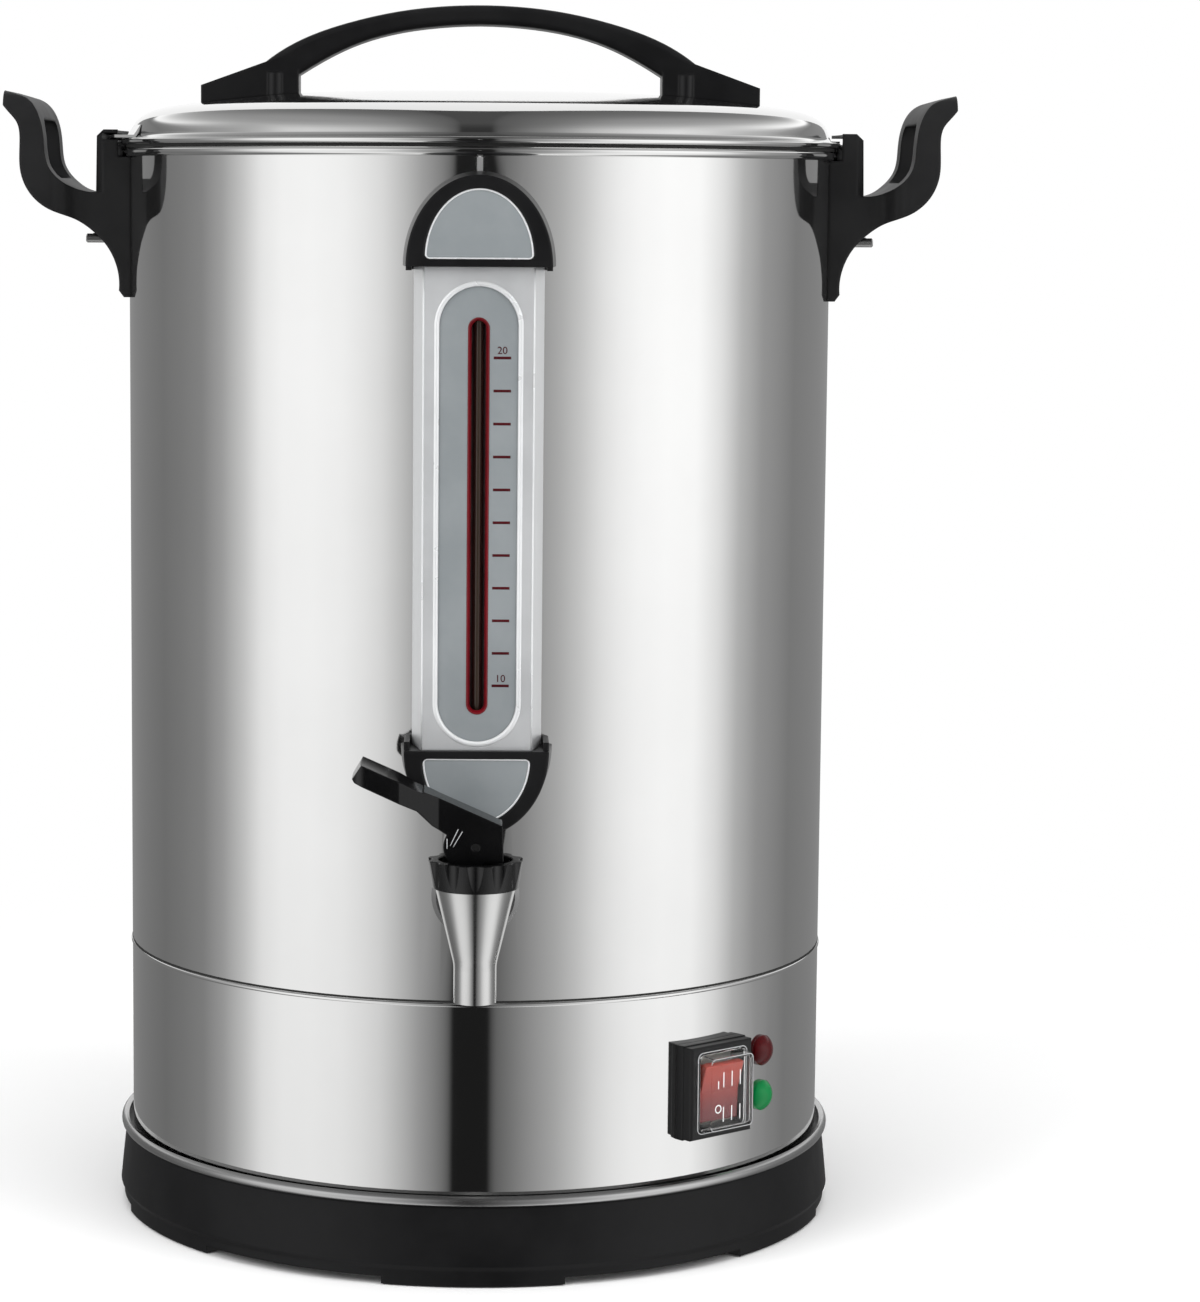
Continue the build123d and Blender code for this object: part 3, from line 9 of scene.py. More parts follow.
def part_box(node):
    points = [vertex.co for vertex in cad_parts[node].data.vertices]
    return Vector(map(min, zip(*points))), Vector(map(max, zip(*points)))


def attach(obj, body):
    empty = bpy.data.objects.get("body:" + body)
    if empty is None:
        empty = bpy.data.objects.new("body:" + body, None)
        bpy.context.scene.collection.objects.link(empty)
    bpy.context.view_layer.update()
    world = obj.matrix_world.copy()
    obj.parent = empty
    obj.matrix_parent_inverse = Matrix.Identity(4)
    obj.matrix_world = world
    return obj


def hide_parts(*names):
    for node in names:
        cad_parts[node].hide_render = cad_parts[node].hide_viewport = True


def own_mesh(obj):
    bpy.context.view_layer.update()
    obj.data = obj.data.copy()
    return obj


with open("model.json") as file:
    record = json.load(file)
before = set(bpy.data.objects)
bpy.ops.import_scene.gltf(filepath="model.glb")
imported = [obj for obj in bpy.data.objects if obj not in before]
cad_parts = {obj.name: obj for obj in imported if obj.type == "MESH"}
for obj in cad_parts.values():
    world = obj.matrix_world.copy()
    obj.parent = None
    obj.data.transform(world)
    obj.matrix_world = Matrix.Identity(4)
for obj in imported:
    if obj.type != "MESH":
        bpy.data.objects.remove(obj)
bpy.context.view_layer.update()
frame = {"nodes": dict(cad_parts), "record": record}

nodes = frame["nodes"]
scene = bpy.context.scene
scene.view_settings.view_transform = "Standard"
mm = 0.001


def node_box(node):
    """Lowest and highest corner of a CAD node at rest, in millimetres to a thousandth."""
    return np.round(np.array(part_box(node)) / mm, 3).tolist()


# Places taken from the frame, in millimetres

skirt_high = node_box("lower_shell")[1]
wall_low, wall_high = node_box("tank_wall")
shell_radius = skirt_high[0]
seam_height = (skirt_high[2] + wall_low[2]) / 2
rim_height = wall_high[2]

lid_low, lid_high = node_box("lid_shell")
flange_radius = lid_high[0]
flange_foot = node_box("lid_seal")[1][2]
lid_top = lid_high[2]
spigot_foot = lid_low[2]

gauge_corner, gauge_far_corner = node_box("gauge_frame")
frame_front = gauge_corner[1]
gauge_low = gauge_corner[2]
gauge_high = gauge_far_corner[2]
plate_front = node_box("gauge_scale_plate")[0][1]
insert_front = node_box("gauge_top_insert")[0][1]
top_insert_foot = node_box("gauge_top_insert")[0][2]
bottom_insert_head = node_box("gauge_bottom_insert")[1][2]

pin_front, pin_back = node_box("tap_pivot_pin")
lever_front = pin_front[1]
tap_axis = (pin_front[1] + pin_back[1]) / 2
plunger_top = node_box("tap_seat_cup")[1][2]
neck_top = node_box("tap_body")[1][2]

boot_low, boot_high = node_box("switch_cover")
switch_height = (boot_low[2] + boot_high[2]) / 2

front_way = np.array((0.0, -1.0, 0.0))
right_way = np.array((1.0, 0.0, 0.0))
upright = np.array((0.0, 0.0, 1.0))


# Camera: in front of the urn, a little below the brim and looking down

camera_distance = 1.694
camera_height = 0.453
camera_pitch = radians(6.89)
camera_roll = 0.0063

camera_data = bpy.data.cameras.new("front_camera")
camera_data.sensor_fit = "VERTICAL"
camera_data.sensor_height = 36.0
camera_data.lens = 104.71
camera_data.shift_x = 0.0945
camera_data.clip_start = 0.05
camera_data.clip_end = 60.0
camera = bpy.data.objects.new("front_camera", camera_data)
scene.collection.objects.link(camera)
camera.matrix_world = (
    Matrix.Translation((0.0, -camera_distance, camera_height))
    @ Matrix.Rotation(pi / 2 - camera_pitch, 4, "X")
    @ Matrix.Rotation(camera_roll, 4, "Z")
)
scene.camera = camera


# Helpers for node trees

def add_node(tree, kind, **settings):
    """A node of that kind, with its properties set by name."""
    node = tree.nodes.new(kind)
    for key, value in settings.items():
        setattr(node, key, value)
    return node


def feed(tree, socket, value):
    """Set a number on a socket, or link another socket to it."""
    if isinstance(value, (int, float)):
        socket.default_value = value
    else:
        tree.links.new(value, socket)


def math_node(tree, operation, *values):
    """Output of a Math node; each value is a number or a socket."""
    node = add_node(tree, "ShaderNodeMath", operation=operation)
    for socket, value in zip(node.inputs, values):
        feed(tree, socket, value)
    return node.outputs[0]


def root_of_squares(tree, first, second):
    """Length of the long side over two short ones."""
    squares = math_node(tree, "MULTIPLY_ADD", first, first, math_node(tree, "MULTIPLY", second, second))
    return math_node(tree, "SQRT", squares)


def ramp_between(tree, value, low, high, to_low=0.0, to_high=1.0, smooth=True):
    """Value carried from one range to another, eased at both ends unless smooth is off."""
    node = add_node(tree, "ShaderNodeMapRange")
    node.interpolation_type = "SMOOTHSTEP" if smooth else "LINEAR"
    tree.links.new(value, node.inputs["Value"])
    node.inputs["From Min"].default_value = low
    node.inputs["From Max"].default_value = high
    node.inputs["To Min"].default_value = to_low
    node.inputs["To Max"].default_value = to_high
    return node.outputs["Result"]


def mix_colours(tree, factor, first, second):
    """Colour between two, by a factor socket; a colour is a tuple or a socket."""
    node = add_node(tree, "ShaderNodeMix", data_type="RGBA")
    tree.links.new(factor, node.inputs["Factor"])
    for socket, colour in ((node.inputs[6], first), (node.inputs[7], second)):
        if isinstance(colour, tuple):
            socket.default_value = (*colour, 1.0)
        else:
            tree.links.new(colour, socket)
    return node.outputs[2]


def object_place(tree):
    """Socket with a point's place in its object."""
    return add_node(tree, "ShaderNodeTexCoord").outputs["Object"]


def split_axes(tree, vector):
    """Three sockets with a vector's parts."""
    node = add_node(tree, "ShaderNodeSeparateXYZ")
    tree.links.new(vector, node.inputs[0])
    return node.outputs


# Studio: soft boxes either side, a dark gap straight ahead, dim overhead, white behind up to a sharp edge

# Shares of light by the angle from straight ahead, in degrees
studio_shares = (
    (-180, 0.30), (-125, 0.20), (-113, 0.23), (-101, 0.28), (-91, 0.43), (-82, 0.69), (-74, 1.01),
    (-66, 1.13), (-55, 1.15), (-44, 1.10), (-37, 1.00), (-31, 0.88), (-24, 0.64), (-18, 0.43),
    (-12, 0.27), (-8.6, 0.16), (-7.6, 0.015), (4.6, 0.015), (6.2, 0.15), (12, 0.25), (26, 0.52),
    (33, 0.71), (40, 0.94), (46, 1.08), (53, 1.18), (63, 1.24), (75, 1.21), (85, 0.94), (94, 0.58),
    (105, 0.37), (125, 0.24), (180, 0.30),
)
studio_peak = 1.25
# Each range is of the sine of the height above the horizon
raised_range = (0.1, 0.5)
raised_spread = 1.3
low_range = (-0.24, -0.05)
low_shade = 0.87
shade_range = (0.3, 0.6)
raised_shade = 0.55
overhead_range = (0.35, 0.75)
overhead_mix = 0.55
overhead_share = 0.14
card_foot_range = (-0.03, 0.02)
card_edge = 1.85
card_softness = 0.04
card_narrowing = 5.6
card_least_depth = 0.02
shadow_fill = 0.45
white = (1.0, 1.0, 1.0)

world = bpy.data.worlds.new("studio")
scene.world = world
world.use_nodes = True
tree = world.node_tree
tree.nodes.clear()
east, north, up = split_axes(tree, add_node(tree, "ShaderNodeTexCoord").outputs["Generated"])
lift = ramp_between(tree, up, *raised_range)
ahead = math_node(tree, "MULTIPLY", north, -1.0)
over = root_of_squares(tree, north, up)
forward = math_node(tree, "MULTIPLY_ADD", lift, math_node(tree, "SUBTRACT", over, ahead), ahead)
spread = math_node(tree, "MULTIPLY_ADD", lift, raised_spread - 1.0, 1.0)
azimuth = math_node(tree, "MULTIPLY", math_node(tree, "ARCTAN2", east, forward), spread)
panorama = add_node(tree, "ShaderNodeValToRGB")
tree.links.new(math_node(tree, "MULTIPLY_ADD", azimuth, 0.5 / pi, 0.5), panorama.inputs[0])
stops = panorama.color_ramp.elements
while len(stops) > 1:
    stops.remove(stops[-1])
for place, (angle, share) in enumerate(studio_shares):
    stop = stops[0] if place == 0 else stops.new(angle / 360 + 0.5)
    stop.position = angle / 360 + 0.5
    stop.color = (*[share / studio_peak] * 3, 1.0)
fall = ramp_between(tree, up, *low_range, low_shade * studio_peak, studio_peak, smooth=False)
dimmed = math_node(tree, "MULTIPLY", fall, ramp_between(tree, up, *shade_range, 1.0, raised_shade))
boxes = math_node(tree, "MULTIPLY", panorama.outputs[0], dimmed)
overhead = ramp_between(tree, up, *overhead_range, 0.0, overhead_mix)
band = mix_colours(tree, overhead, boxes, (overhead_share,) * 3)
away = root_of_squares(tree, math_node(tree, "MULTIPLY", east, card_narrowing), up)
slant = math_node(tree, "DIVIDE", away, math_node(tree, "MAXIMUM", north, card_least_depth))
card = math_node(tree, "MULTIPLY", ramp_between(tree, up, *card_foot_range),
                 ramp_between(tree, slant, card_edge, card_edge + card_softness, 1.0, 0.0))
surround = mix_colours(tree, card, band, white)
rays = add_node(tree, "ShaderNodeLightPath").outputs
reflected = math_node(tree, "MAXIMUM", rays["Is Glossy Ray"], rays["Is Transmission Ray"])
seen = mix_colours(tree, reflected, (shadow_fill,) * 3, surround)
shown = mix_colours(tree, rays["Is Camera Ray"], seen, white)
background = add_node(tree, "ShaderNodeBackground")
tree.links.new(shown, background.inputs["Color"])
tree.links.new(background.outputs[0], add_node(tree, "ShaderNodeOutputWorld").inputs["Surface"])


def soft_lamp(name, place, aim, size, watts):
    """Square soft lamp that looks at a point and doesn't show in reflections."""
    data = bpy.data.lights.new(name, "AREA")
    data.size = size
    data.energy = watts
    lamp = bpy.data.objects.new(name, data)
    scene.collection.objects.link(lamp)
    way = Vector(place) - Vector(aim)
    lamp.matrix_world = Matrix.Translation(place) @ way.to_track_quat("Z", "Y").to_matrix().to_4x4()
    lamp.visible_glossy = False


soft_lamp("left_soft_lamp", place=(-1.7, -1.5, 1.5), aim=(0.0, 0.0, 0.25), size=1.4, watts=30.0)
soft_lamp("right_soft_lamp", place=(1.9, -1.3, 1.4), aim=(0.0, 0.0, 0.25), size=1.4, watts=26.0)
soft_lamp("top_soft_lamp", place=(0.0, -0.4, 2.3), aim=(0.0, 0.0, 0.3), size=1.8, watts=34.0)


# Floor: pale and matt under the urn, plain white to the camera further out

floor_half = 1.6
floor_fade = (0.3, 0.75)
floor_colour = (0.97, 0.97, 0.97, 1.0)

floor_mesh = bpy.data.meshes.new("floor")
corners = np.array([(-1, -1, 0), (1, -1, 0), (1, 1, 0), (-1, 1, 0)]) * floor_half
floor_mesh.from_pydata(corners.tolist(), [], [(0, 1, 2, 3)])
floor = bpy.data.objects.new("floor", floor_mesh)
scene.collection.objects.link(floor)
floor.visible_glossy = False
floor_paint = bpy.data.materials.new("pale_floor")
floor_paint.use_nodes = True
tree = floor_paint.node_tree
tree.nodes.clear()
reach = add_node(tree, "ShaderNodeVectorMath", operation="LENGTH")
tree.links.new(object_place(tree), reach.inputs[0])
fade = ramp_between(tree, reach.outputs["Value"], *floor_fade)
matt = add_node(tree, "ShaderNodeBsdfDiffuse")
matt.inputs["Color"].default_value = floor_colour
glow = add_node(tree, "ShaderNodeEmission")
rays = add_node(tree, "ShaderNodeLightPath").outputs
unlit = math_node(tree, "MAXIMUM", rays["Is Camera Ray"], rays["Is Transmission Ray"])
blend = add_node(tree, "ShaderNodeMixShader")
tree.links.new(math_node(tree, "MULTIPLY", fade, unlit), blend.inputs[0])
tree.links.new(matt.outputs[0], blend.inputs[1])
tree.links.new(glow.outputs[0], blend.inputs[2])
tree.links.new(blend.outputs[0], add_node(tree, "ShaderNodeOutputMaterial").inputs["Surface"])
floor_mesh.materials.append(floor_paint)


# Shared surface effects as node groups

def start_group(name, inputs, outputs):
    """Empty group with sockets given as (name, kind, start value); returns it with its two end nodes."""
    group = bpy.data.node_groups.new(name, "ShaderNodeTree")
    for label, kind, value in inputs:
        socket = group.interface.new_socket(label, in_out="INPUT", socket_type=kind)
        if value is not None:
            socket.default_value = value
    for label, kind in outputs:
        group.interface.new_socket(label, in_out="OUTPUT", socket_type=kind)
    return group, group.nodes.new("NodeGroupInput").outputs, group.nodes.new("NodeGroupOutput").inputs


def noise(tree, place, scale, detail, roughness=0.5):
    """Noise value at a place; the scale is a number or a socket."""
    node = add_node(tree, "ShaderNodeTexNoise")
    tree.links.new(place, node.inputs["Vector"])
    feed(tree, node.inputs["Scale"], scale)
    node.inputs["Detail"].default_value = detail
    node.inputs["Roughness"].default_value = roughness
    return node.outputs["Fac"]


def clouds(tree, place, scale):
    """Soft cloudy patches from 0 to 1: noise with its middle stretched."""
    return ramp_between(tree, noise(tree, place, scale, detail=4.0, roughness=0.6), low=0.3, high=0.7)


def moulded_grain():
    """Pebbled skin of a moulding: rounded cells roughened by finer noise, with soft cloudy handling marks."""
    fineness, fine_share = 2.3, 0.4
    group, given, result = start_group(
        "moulded_grain",
        (("Place", "NodeSocketVector", None), ("Grain Scale", "NodeSocketFloat", 1600.0),
         ("Cloud Scale", "NodeSocketFloat", 30.0)),
        (("Height", "NodeSocketFloat"), ("Cloud", "NodeSocketFloat")),
    )
    cells = add_node(group, "ShaderNodeTexVoronoi", feature="SMOOTH_F1")
    group.links.new(given["Place"], cells.inputs["Vector"])
    group.links.new(given["Grain Scale"], cells.inputs["Scale"])
    fine_scale = math_node(group, "MULTIPLY", given["Grain Scale"], fineness)
    fine = noise(group, given["Place"], fine_scale, detail=3.0)
    height = math_node(group, "MULTIPLY_ADD", fine, fine_share, cells.outputs["Distance"])
    group.links.new(height, result["Height"])
    group.links.new(clouds(group, given["Place"], given["Cloud Scale"]), result["Cloud"])
    return group


def polish_lines():
    """Polishing marks round an upright axis: noise on angle, height and radius, stretched along the angle."""
    angle_scale, haze_scale = 1.2, 14.0
    group, given, result = start_group(
        "polish_lines",
        (("Place", "NodeSocketVector", None), ("Lines", "NodeSocketFloat", 2500.0)),
        (("Height", "NodeSocketFloat"), ("Haze", "NodeSocketFloat")),
    )
    side, ahead, level = split_axes(group, given["Place"])
    around = math_node(group, "COSINE", math_node(group, "ARCTAN2", side, ahead))
    lengths = add_node(group, "ShaderNodeCombineXYZ")
    group.links.new(math_node(group, "MULTIPLY", around, angle_scale), lengths.inputs[0])
    group.links.new(math_node(group, "MULTIPLY", level, given["Lines"]), lengths.inputs[1])
    reach = root_of_squares(group, side, ahead)
    group.links.new(math_node(group, "MULTIPLY", reach, given["Lines"]), lengths.inputs[2])
    group.links.new(noise(group, lengths.outputs[0], 1.0, detail=3.0, roughness=0.7), result["Height"])
    group.links.new(clouds(group, given["Place"], haze_scale), result["Haze"])
    return group


grain = moulded_grain()
polish = polish_lines()


# Finishes

grain_height = 0.0002
polish_height = 0.0001
rough_range = (0.0, 0.7)
steel_shades = ((0.77, 0.77, 0.765), (0.79, 0.79, 0.785))
steel_shine = (0.045, 0.065)


def start_finish(name, **sockets):
    """New material with a Principled shader, whose plain values are set by socket name with underscores."""
    material = bpy.data.materials.new(name)
    material.use_nodes = True
    tree = material.node_tree
    shader = tree.nodes["Principled BSDF"]
    for key, value in sockets.items():
        shader.inputs[key.replace("_", " ")].default_value = value
    return material, tree, shader


def bump_surface(tree, shader, height, strength, distance, rounding):
    """Bump by a height socket, over a normal that turns softly at edges within the rounding radius."""
    bump = add_node(tree, "ShaderNodeBump")
    bump.inputs["Strength"].default_value = strength
    bump.inputs["Distance"].default_value = distance
    if rounding:
        edge = add_node(tree, "ShaderNodeBevel", samples=6)
        edge.inputs["Radius"].default_value = rounding
        tree.links.new(edge.outputs[0], bump.inputs["Normal"])
    tree.links.new(height, bump.inputs["Height"])
    tree.links.new(bump.outputs[0], shader.inputs["Normal"])


def grained(name, colours, shine, depth=0.12, rounding=0.0, **sockets):
    """Moulded finish: two shades and two roughness values by handling marks, pebbled bump, soft edges."""
    material, tree, shader = start_finish(name, **sockets)
    skin = add_node(tree, "ShaderNodeGroup", node_tree=grain)
    tree.links.new(object_place(tree), skin.inputs["Place"])
    cloud = skin.outputs["Cloud"]
    tree.links.new(mix_colours(tree, cloud, *colours), shader.inputs["Base Color"])
    tree.links.new(ramp_between(tree, cloud, 0.0, 1.0, *shine, smooth=False), shader.inputs["Roughness"])
    bump_surface(tree, shader, skin.outputs["Height"], depth, grain_height, rounding)
    return material


def polished(name, colours, shine, depth=0.02, centre=None):
    """Metal finish: two shades and two roughness values by lines round a centre and haze, faint bump."""
    material, tree, shader = start_finish(name, Metallic=1.0)
    skin = add_node(tree, "ShaderNodeGroup", node_tree=polish)
    place = object_place(tree)
    if centre:
        shift = add_node(tree, "ShaderNodeMapping", vector_type="TEXTURE")
        shift.inputs["Location"].default_value = centre
        tree.links.new(place, shift.inputs["Vector"])
        place = shift.outputs[0]
    tree.links.new(place, skin.inputs["Place"])
    tree.links.new(mix_colours(tree, skin.outputs["Haze"], *colours), shader.inputs["Base Color"])
    mixed = math_node(tree, "MULTIPLY", skin.outputs["Haze"], skin.outputs["Height"])
    tree.links.new(ramp_between(tree, mixed, *rough_range, *shine, smooth=False), shader.inputs["Roughness"])
    bump_surface(tree, shader, skin.outputs["Height"], depth, polish_height, 0.0)
    return material


def shaded(material, axis, centre, low, high, colours):
    """Replace a finish's colour by two shades blended with the distance from a centre along one axis: a
    painted highlight near the centre, darker further off.
    """
    tree = material.node_tree
    along = split_axes(tree, object_place(tree))[axis]
    away = math_node(tree, "ABSOLUTE", math_node(tree, "SUBTRACT", along, centre))
    blend = mix_colours(tree, ramp_between(tree, away, low, high), *colours)
    tree.links.new(blend, tree.nodes["Principled BSDF"].inputs["Base Color"])
    return material


def satin_inside(material, radius, metal=0.45, roughness=0.4, step=0.0002):
    """Make a polished finish satin on the inner side of a radius about the urn's axis."""
    tree = material.node_tree
    shader = tree.nodes["Principled BSDF"]
    side, ahead = split_axes(tree, object_place(tree))[:2]
    reach = root_of_squares(tree, side, ahead)
    edge = (radius - step, radius + step)
    tree.links.new(ramp_between(tree, reach, *edge, metal, 1.0), shader.inputs["Metallic"])
    outside = shader.inputs["Roughness"].links[0].from_socket
    satin = ramp_between(tree, reach, *edge, roughness, 0.0)
    tree.links.new(math_node(tree, "MAXIMUM", outside, satin), shader.inputs["Roughness"])
    return material


finishes = {
    "black_moulding": grained(
        "black_moulding", ((0.004, 0.004, 0.0045), (0.007, 0.007, 0.0075)), (0.32, 0.42), depth=0.06,
        rounding=0.0014, Specular_IOR_Level=0.36),
    "soft_rubber": grained("soft_rubber", ((0.010, 0.010, 0.010), (0.018, 0.018, 0.017)), (0.65, 0.8)),
    "polished_steel": polished("polished_steel", steel_shades, steel_shine),
    "bright_trim": polished("bright_trim", ((0.66, 0.66, 0.66), (0.70, 0.70, 0.70)), (0.12, 0.2)),
    "plain_steel": polished(
        "plain_steel", ((0.58, 0.58, 0.57), (0.66, 0.66, 0.65)), (0.2, 0.34), depth=0.08),
    "brewing_aluminium": polished(
        "brewing_aluminium", ((0.72, 0.73, 0.74), (0.79, 0.80, 0.81)), (0.25, 0.4), depth=0.1),
    "heater_sheath": grained(
        "heater_sheath", ((0.10, 0.09, 0.08), (0.17, 0.15, 0.13)), (0.45, 0.6), Metallic=0.7),
    "control_plastic": grained(
        "control_plastic", ((0.56, 0.54, 0.49), (0.64, 0.62, 0.57)), (0.4, 0.55)),
    "gauge_grey": grained(
        "gauge_grey", ((0.56, 0.57, 0.58), (0.62, 0.63, 0.64)), (0.3, 0.4), depth=0.05, rounding=0.0007,
        Metallic=0.4),
    "scale_grey": grained(
        "scale_grey", ((0.21, 0.23, 0.24), (0.24, 0.26, 0.27)), (0.28, 0.36), depth=0.03),
    "signal_red": grained(
        "signal_red", ((0.12, 0.001, 0.005), (0.15, 0.002, 0.006)), (0.3, 0.4), depth=0.03),
    # Gauge tube: dark brown, with a painted highlight down its middle that darkens towards its sides
    "gauge_glass": shaded(
        grained("gauge_glass", ((0.9, 0.9, 0.9), (0.95, 0.95, 0.95)), (0.1, 0.18), depth=0.01,
                Coat_Weight=0.5),
        axis=0, centre=0.0, low=0.0, high=0.0016, colours=((0.055, 0.034, 0.022), (0.022, 0.006, 0.005))),
    "clear_boot": grained(
        "clear_boot", ((0.95, 0.95, 0.95), (0.98, 0.98, 0.98)), (0.04, 0.1), depth=0.02, rounding=0.0006,
        Transmission_Weight=1.0, IOR=1.3),
    "red_lens": grained(
        "red_lens", ((0.045, 0.001, 0.002), (0.06, 0.0015, 0.003)), (0.12, 0.2), depth=0.04,
        rounding=0.0006, Specular_IOR_Level=0.3),
    "green_lens": grained(
        "green_lens", ((0.001, 0.15, 0.035), (0.002, 0.20, 0.05)), (0.1, 0.18), depth=0.04,
        rounding=0.0006, Specular_IOR_Level=0.3),
}
satin_spout = polished(
    "satin_spout", ((0.60, 0.60, 0.595), (0.66, 0.66, 0.655)), (0.14, 0.2), depth=0.008,
    centre=(0.0, tap_axis * mm, 0.0))
handle_black = grained(
    "handle_black", ((0.006, 0.006, 0.0065), (0.010, 0.010, 0.0105)), (0.48, 0.56), depth=0.06,
    rounding=0.0018, Specular_IOR_Level=0.38)
tap_black = grained(
    "tap_black", ((0.002, 0.002, 0.0022), (0.003, 0.003, 0.0033)), (0.17, 0.24), depth=0.03,
    rounding=0.0008, Specular_IOR_Level=0.42)
wall_inside = shell_radius - 0.4
# Height, above the switch's middle, of the painted highlight on the switch rocker
rocker_highlight_height = switch_height + 18.0
own_finish = {
    "left_handle": handle_black,
    "right_handle": handle_black,
    "tap_lever": tap_black,
    "tap_bonnet": tap_black,
    "tank_wall": satin_inside(polished("tank_steel", steel_shades, steel_shine), wall_inside * mm),
    "base_moulding": grained(
        "base_black", ((0.003, 0.003, 0.0035), (0.006, 0.006, 0.0065)), (0.4, 0.5), depth=0.06,
        rounding=0.0015, Specular_IOR_Level=0.22),
    "tap_pivot_pin": polished("dark_pin", ((0.05, 0.05, 0.05), (0.08, 0.08, 0.08)), (0.35, 0.45)),
    "base_trim_ring": polished("trim_steel", ((0.44, 0.44, 0.44), (0.50, 0.50, 0.50)), (0.2, 0.28)),
    "tap_body": satin_spout,
    "gauge_socket": polished(
        "socket_steel", ((0.34, 0.34, 0.34), (0.40, 0.40, 0.40)), (0.28, 0.38), depth=0.05),
    "gauge_hanger": polished(
        "hanger_steel", ((0.88, 0.88, 0.88), (0.92, 0.92, 0.92)), (0.45, 0.55), depth=0.05),
    "gauge_top_insert": finishes["scale_grey"],
    "gauge_bottom_insert": finishes["scale_grey"],
    # Switch rocker: red, paler towards its top by a painted highlight, darker red lower down
    "switch_rocker": shaded(
        grained("rocker_red", ((0.4, 0.02, 0.02), (0.5, 0.03, 0.03)), (0.25, 0.35), depth=0.03,
                rounding=0.0008),
        axis=2, centre=rocker_highlight_height * mm, low=0.006, high=0.030,
        colours=((0.52, 0.055, 0.030), (0.17, 0.014, 0.018))),
}
for entry in frame["record"]["subparts"]:
    slots = nodes[entry["node"]].data.materials
    slots.clear()
    slots.append(own_finish.get(entry["node"], finishes[entry["material_slot"]]))
paint = {
    # Light grey for painted highlights on the level gauge's edges and rims
    "pale_highlight": grained(
        "pale_highlight", ((0.72, 0.73, 0.74), (0.80, 0.81, 0.82)), (0.25, 0.35), depth=0.03, Metallic=0.3),
    # Bright grey for painted highlights on the lever's ridges and the switch boot's edges
    "bright_highlight": grained(
        "bright_highlight", ((0.66, 0.67, 0.68), (0.71, 0.72, 0.73)), (0.2, 0.28), depth=0.02, Metallic=0.7),
    "mark_red": grained(
        "mark_red", ((0.045, 0.002, 0.005), (0.065, 0.003, 0.006)), (0.4, 0.5), depth=0.03,
        Specular_IOR_Level=0.2),
    # White for the switch boot's signs, and for painted highlights on its ribs
    "white_sign_and_highlight": grained(
        "white_sign_and_highlight", ((0.82, 0.82, 0.82), (0.88, 0.88, 0.88)), (0.4, 0.5), depth=0.03),
}


# Pieces made from grids of points, in millimetres

sharp_edge = radians(40.0)


def add_piece(name, mesh, body, finish, replaces=()):
    """Object of a mesh, with its finish, its moving body and the nodes it stands for."""
    mesh.materials.clear()
    mesh.materials.append(finish)
    piece = bpy.data.objects.new(name, mesh)
    scene.collection.objects.link(piece)
    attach(piece, body)
    if replaces:
        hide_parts(*replaces)
    return piece


def grid_faces(rows, columns, along):
    """Quads between neighbouring points of a grid that closes round its columns, and flat ends for its first
    and last row; or no ends, where it also closes along its rows."""
    index = np.arange(rows * columns).reshape(rows, columns)
    ends = np.stack((index[0], index[-1, ::-1]))
    index = np.concatenate((index, index[:, :1]), axis=1)
    if along:
        ends = ends[:0]
        index = np.concatenate((index, index[:1]), axis=0)
    corners = (index[:-1, :-1], index[1:, :-1], index[1:, 1:], index[:-1, 1:])
    return np.stack(corners, axis=-1).reshape(-1, 4), ends


def grid_piece(name, grids, body, finish, along=False, replaces=()):
    """One piece from grids, each a section (columns) carried along a path (rows); turned outwards where the
    signed volume of its quads is negative."""
    points = [grid.reshape(-1, 3) for grid in grids]
    starts = np.cumsum([0] + [len(flat) for flat in points])
    faces = []
    for grid, flat, start in zip(grids, points, starts):
        quads, ends = grid_faces(*grid.shape[:2], along)
        a, b, c, d = np.moveaxis(flat[quads] - flat.mean(axis=0), 1, 0)
        volume = np.sum(a * np.cross(b, c)) + np.sum(a * np.cross(c, d))
        order = -1 if volume < 0 else 1
        faces += (quads + start)[:, ::order].tolist() + (ends + start)[:, ::order].tolist()
    mesh = bpy.data.meshes.new(name)
    mesh.from_pydata((np.concatenate(points) * mm).tolist(), [], faces)
    mesh.polygons.foreach_set("use_smooth", [len(face) == 4 for face in faces])
    return add_piece(name, mesh, body, finish, replaces)


def full_turn(count):
    """Evenly spaced angles of one turn."""
    return np.arange(count) * 2 * pi / count


def turned(section, angles):
    """Section (radius, height) turned about the urn's axis, with one row of points for each angle."""
    radius, height = np.array(section).T
    angle = angles[:, None]
    return np.stack((np.cos(angle) * radius, np.sin(angle) * radius, height + 0 * angle), axis=2)


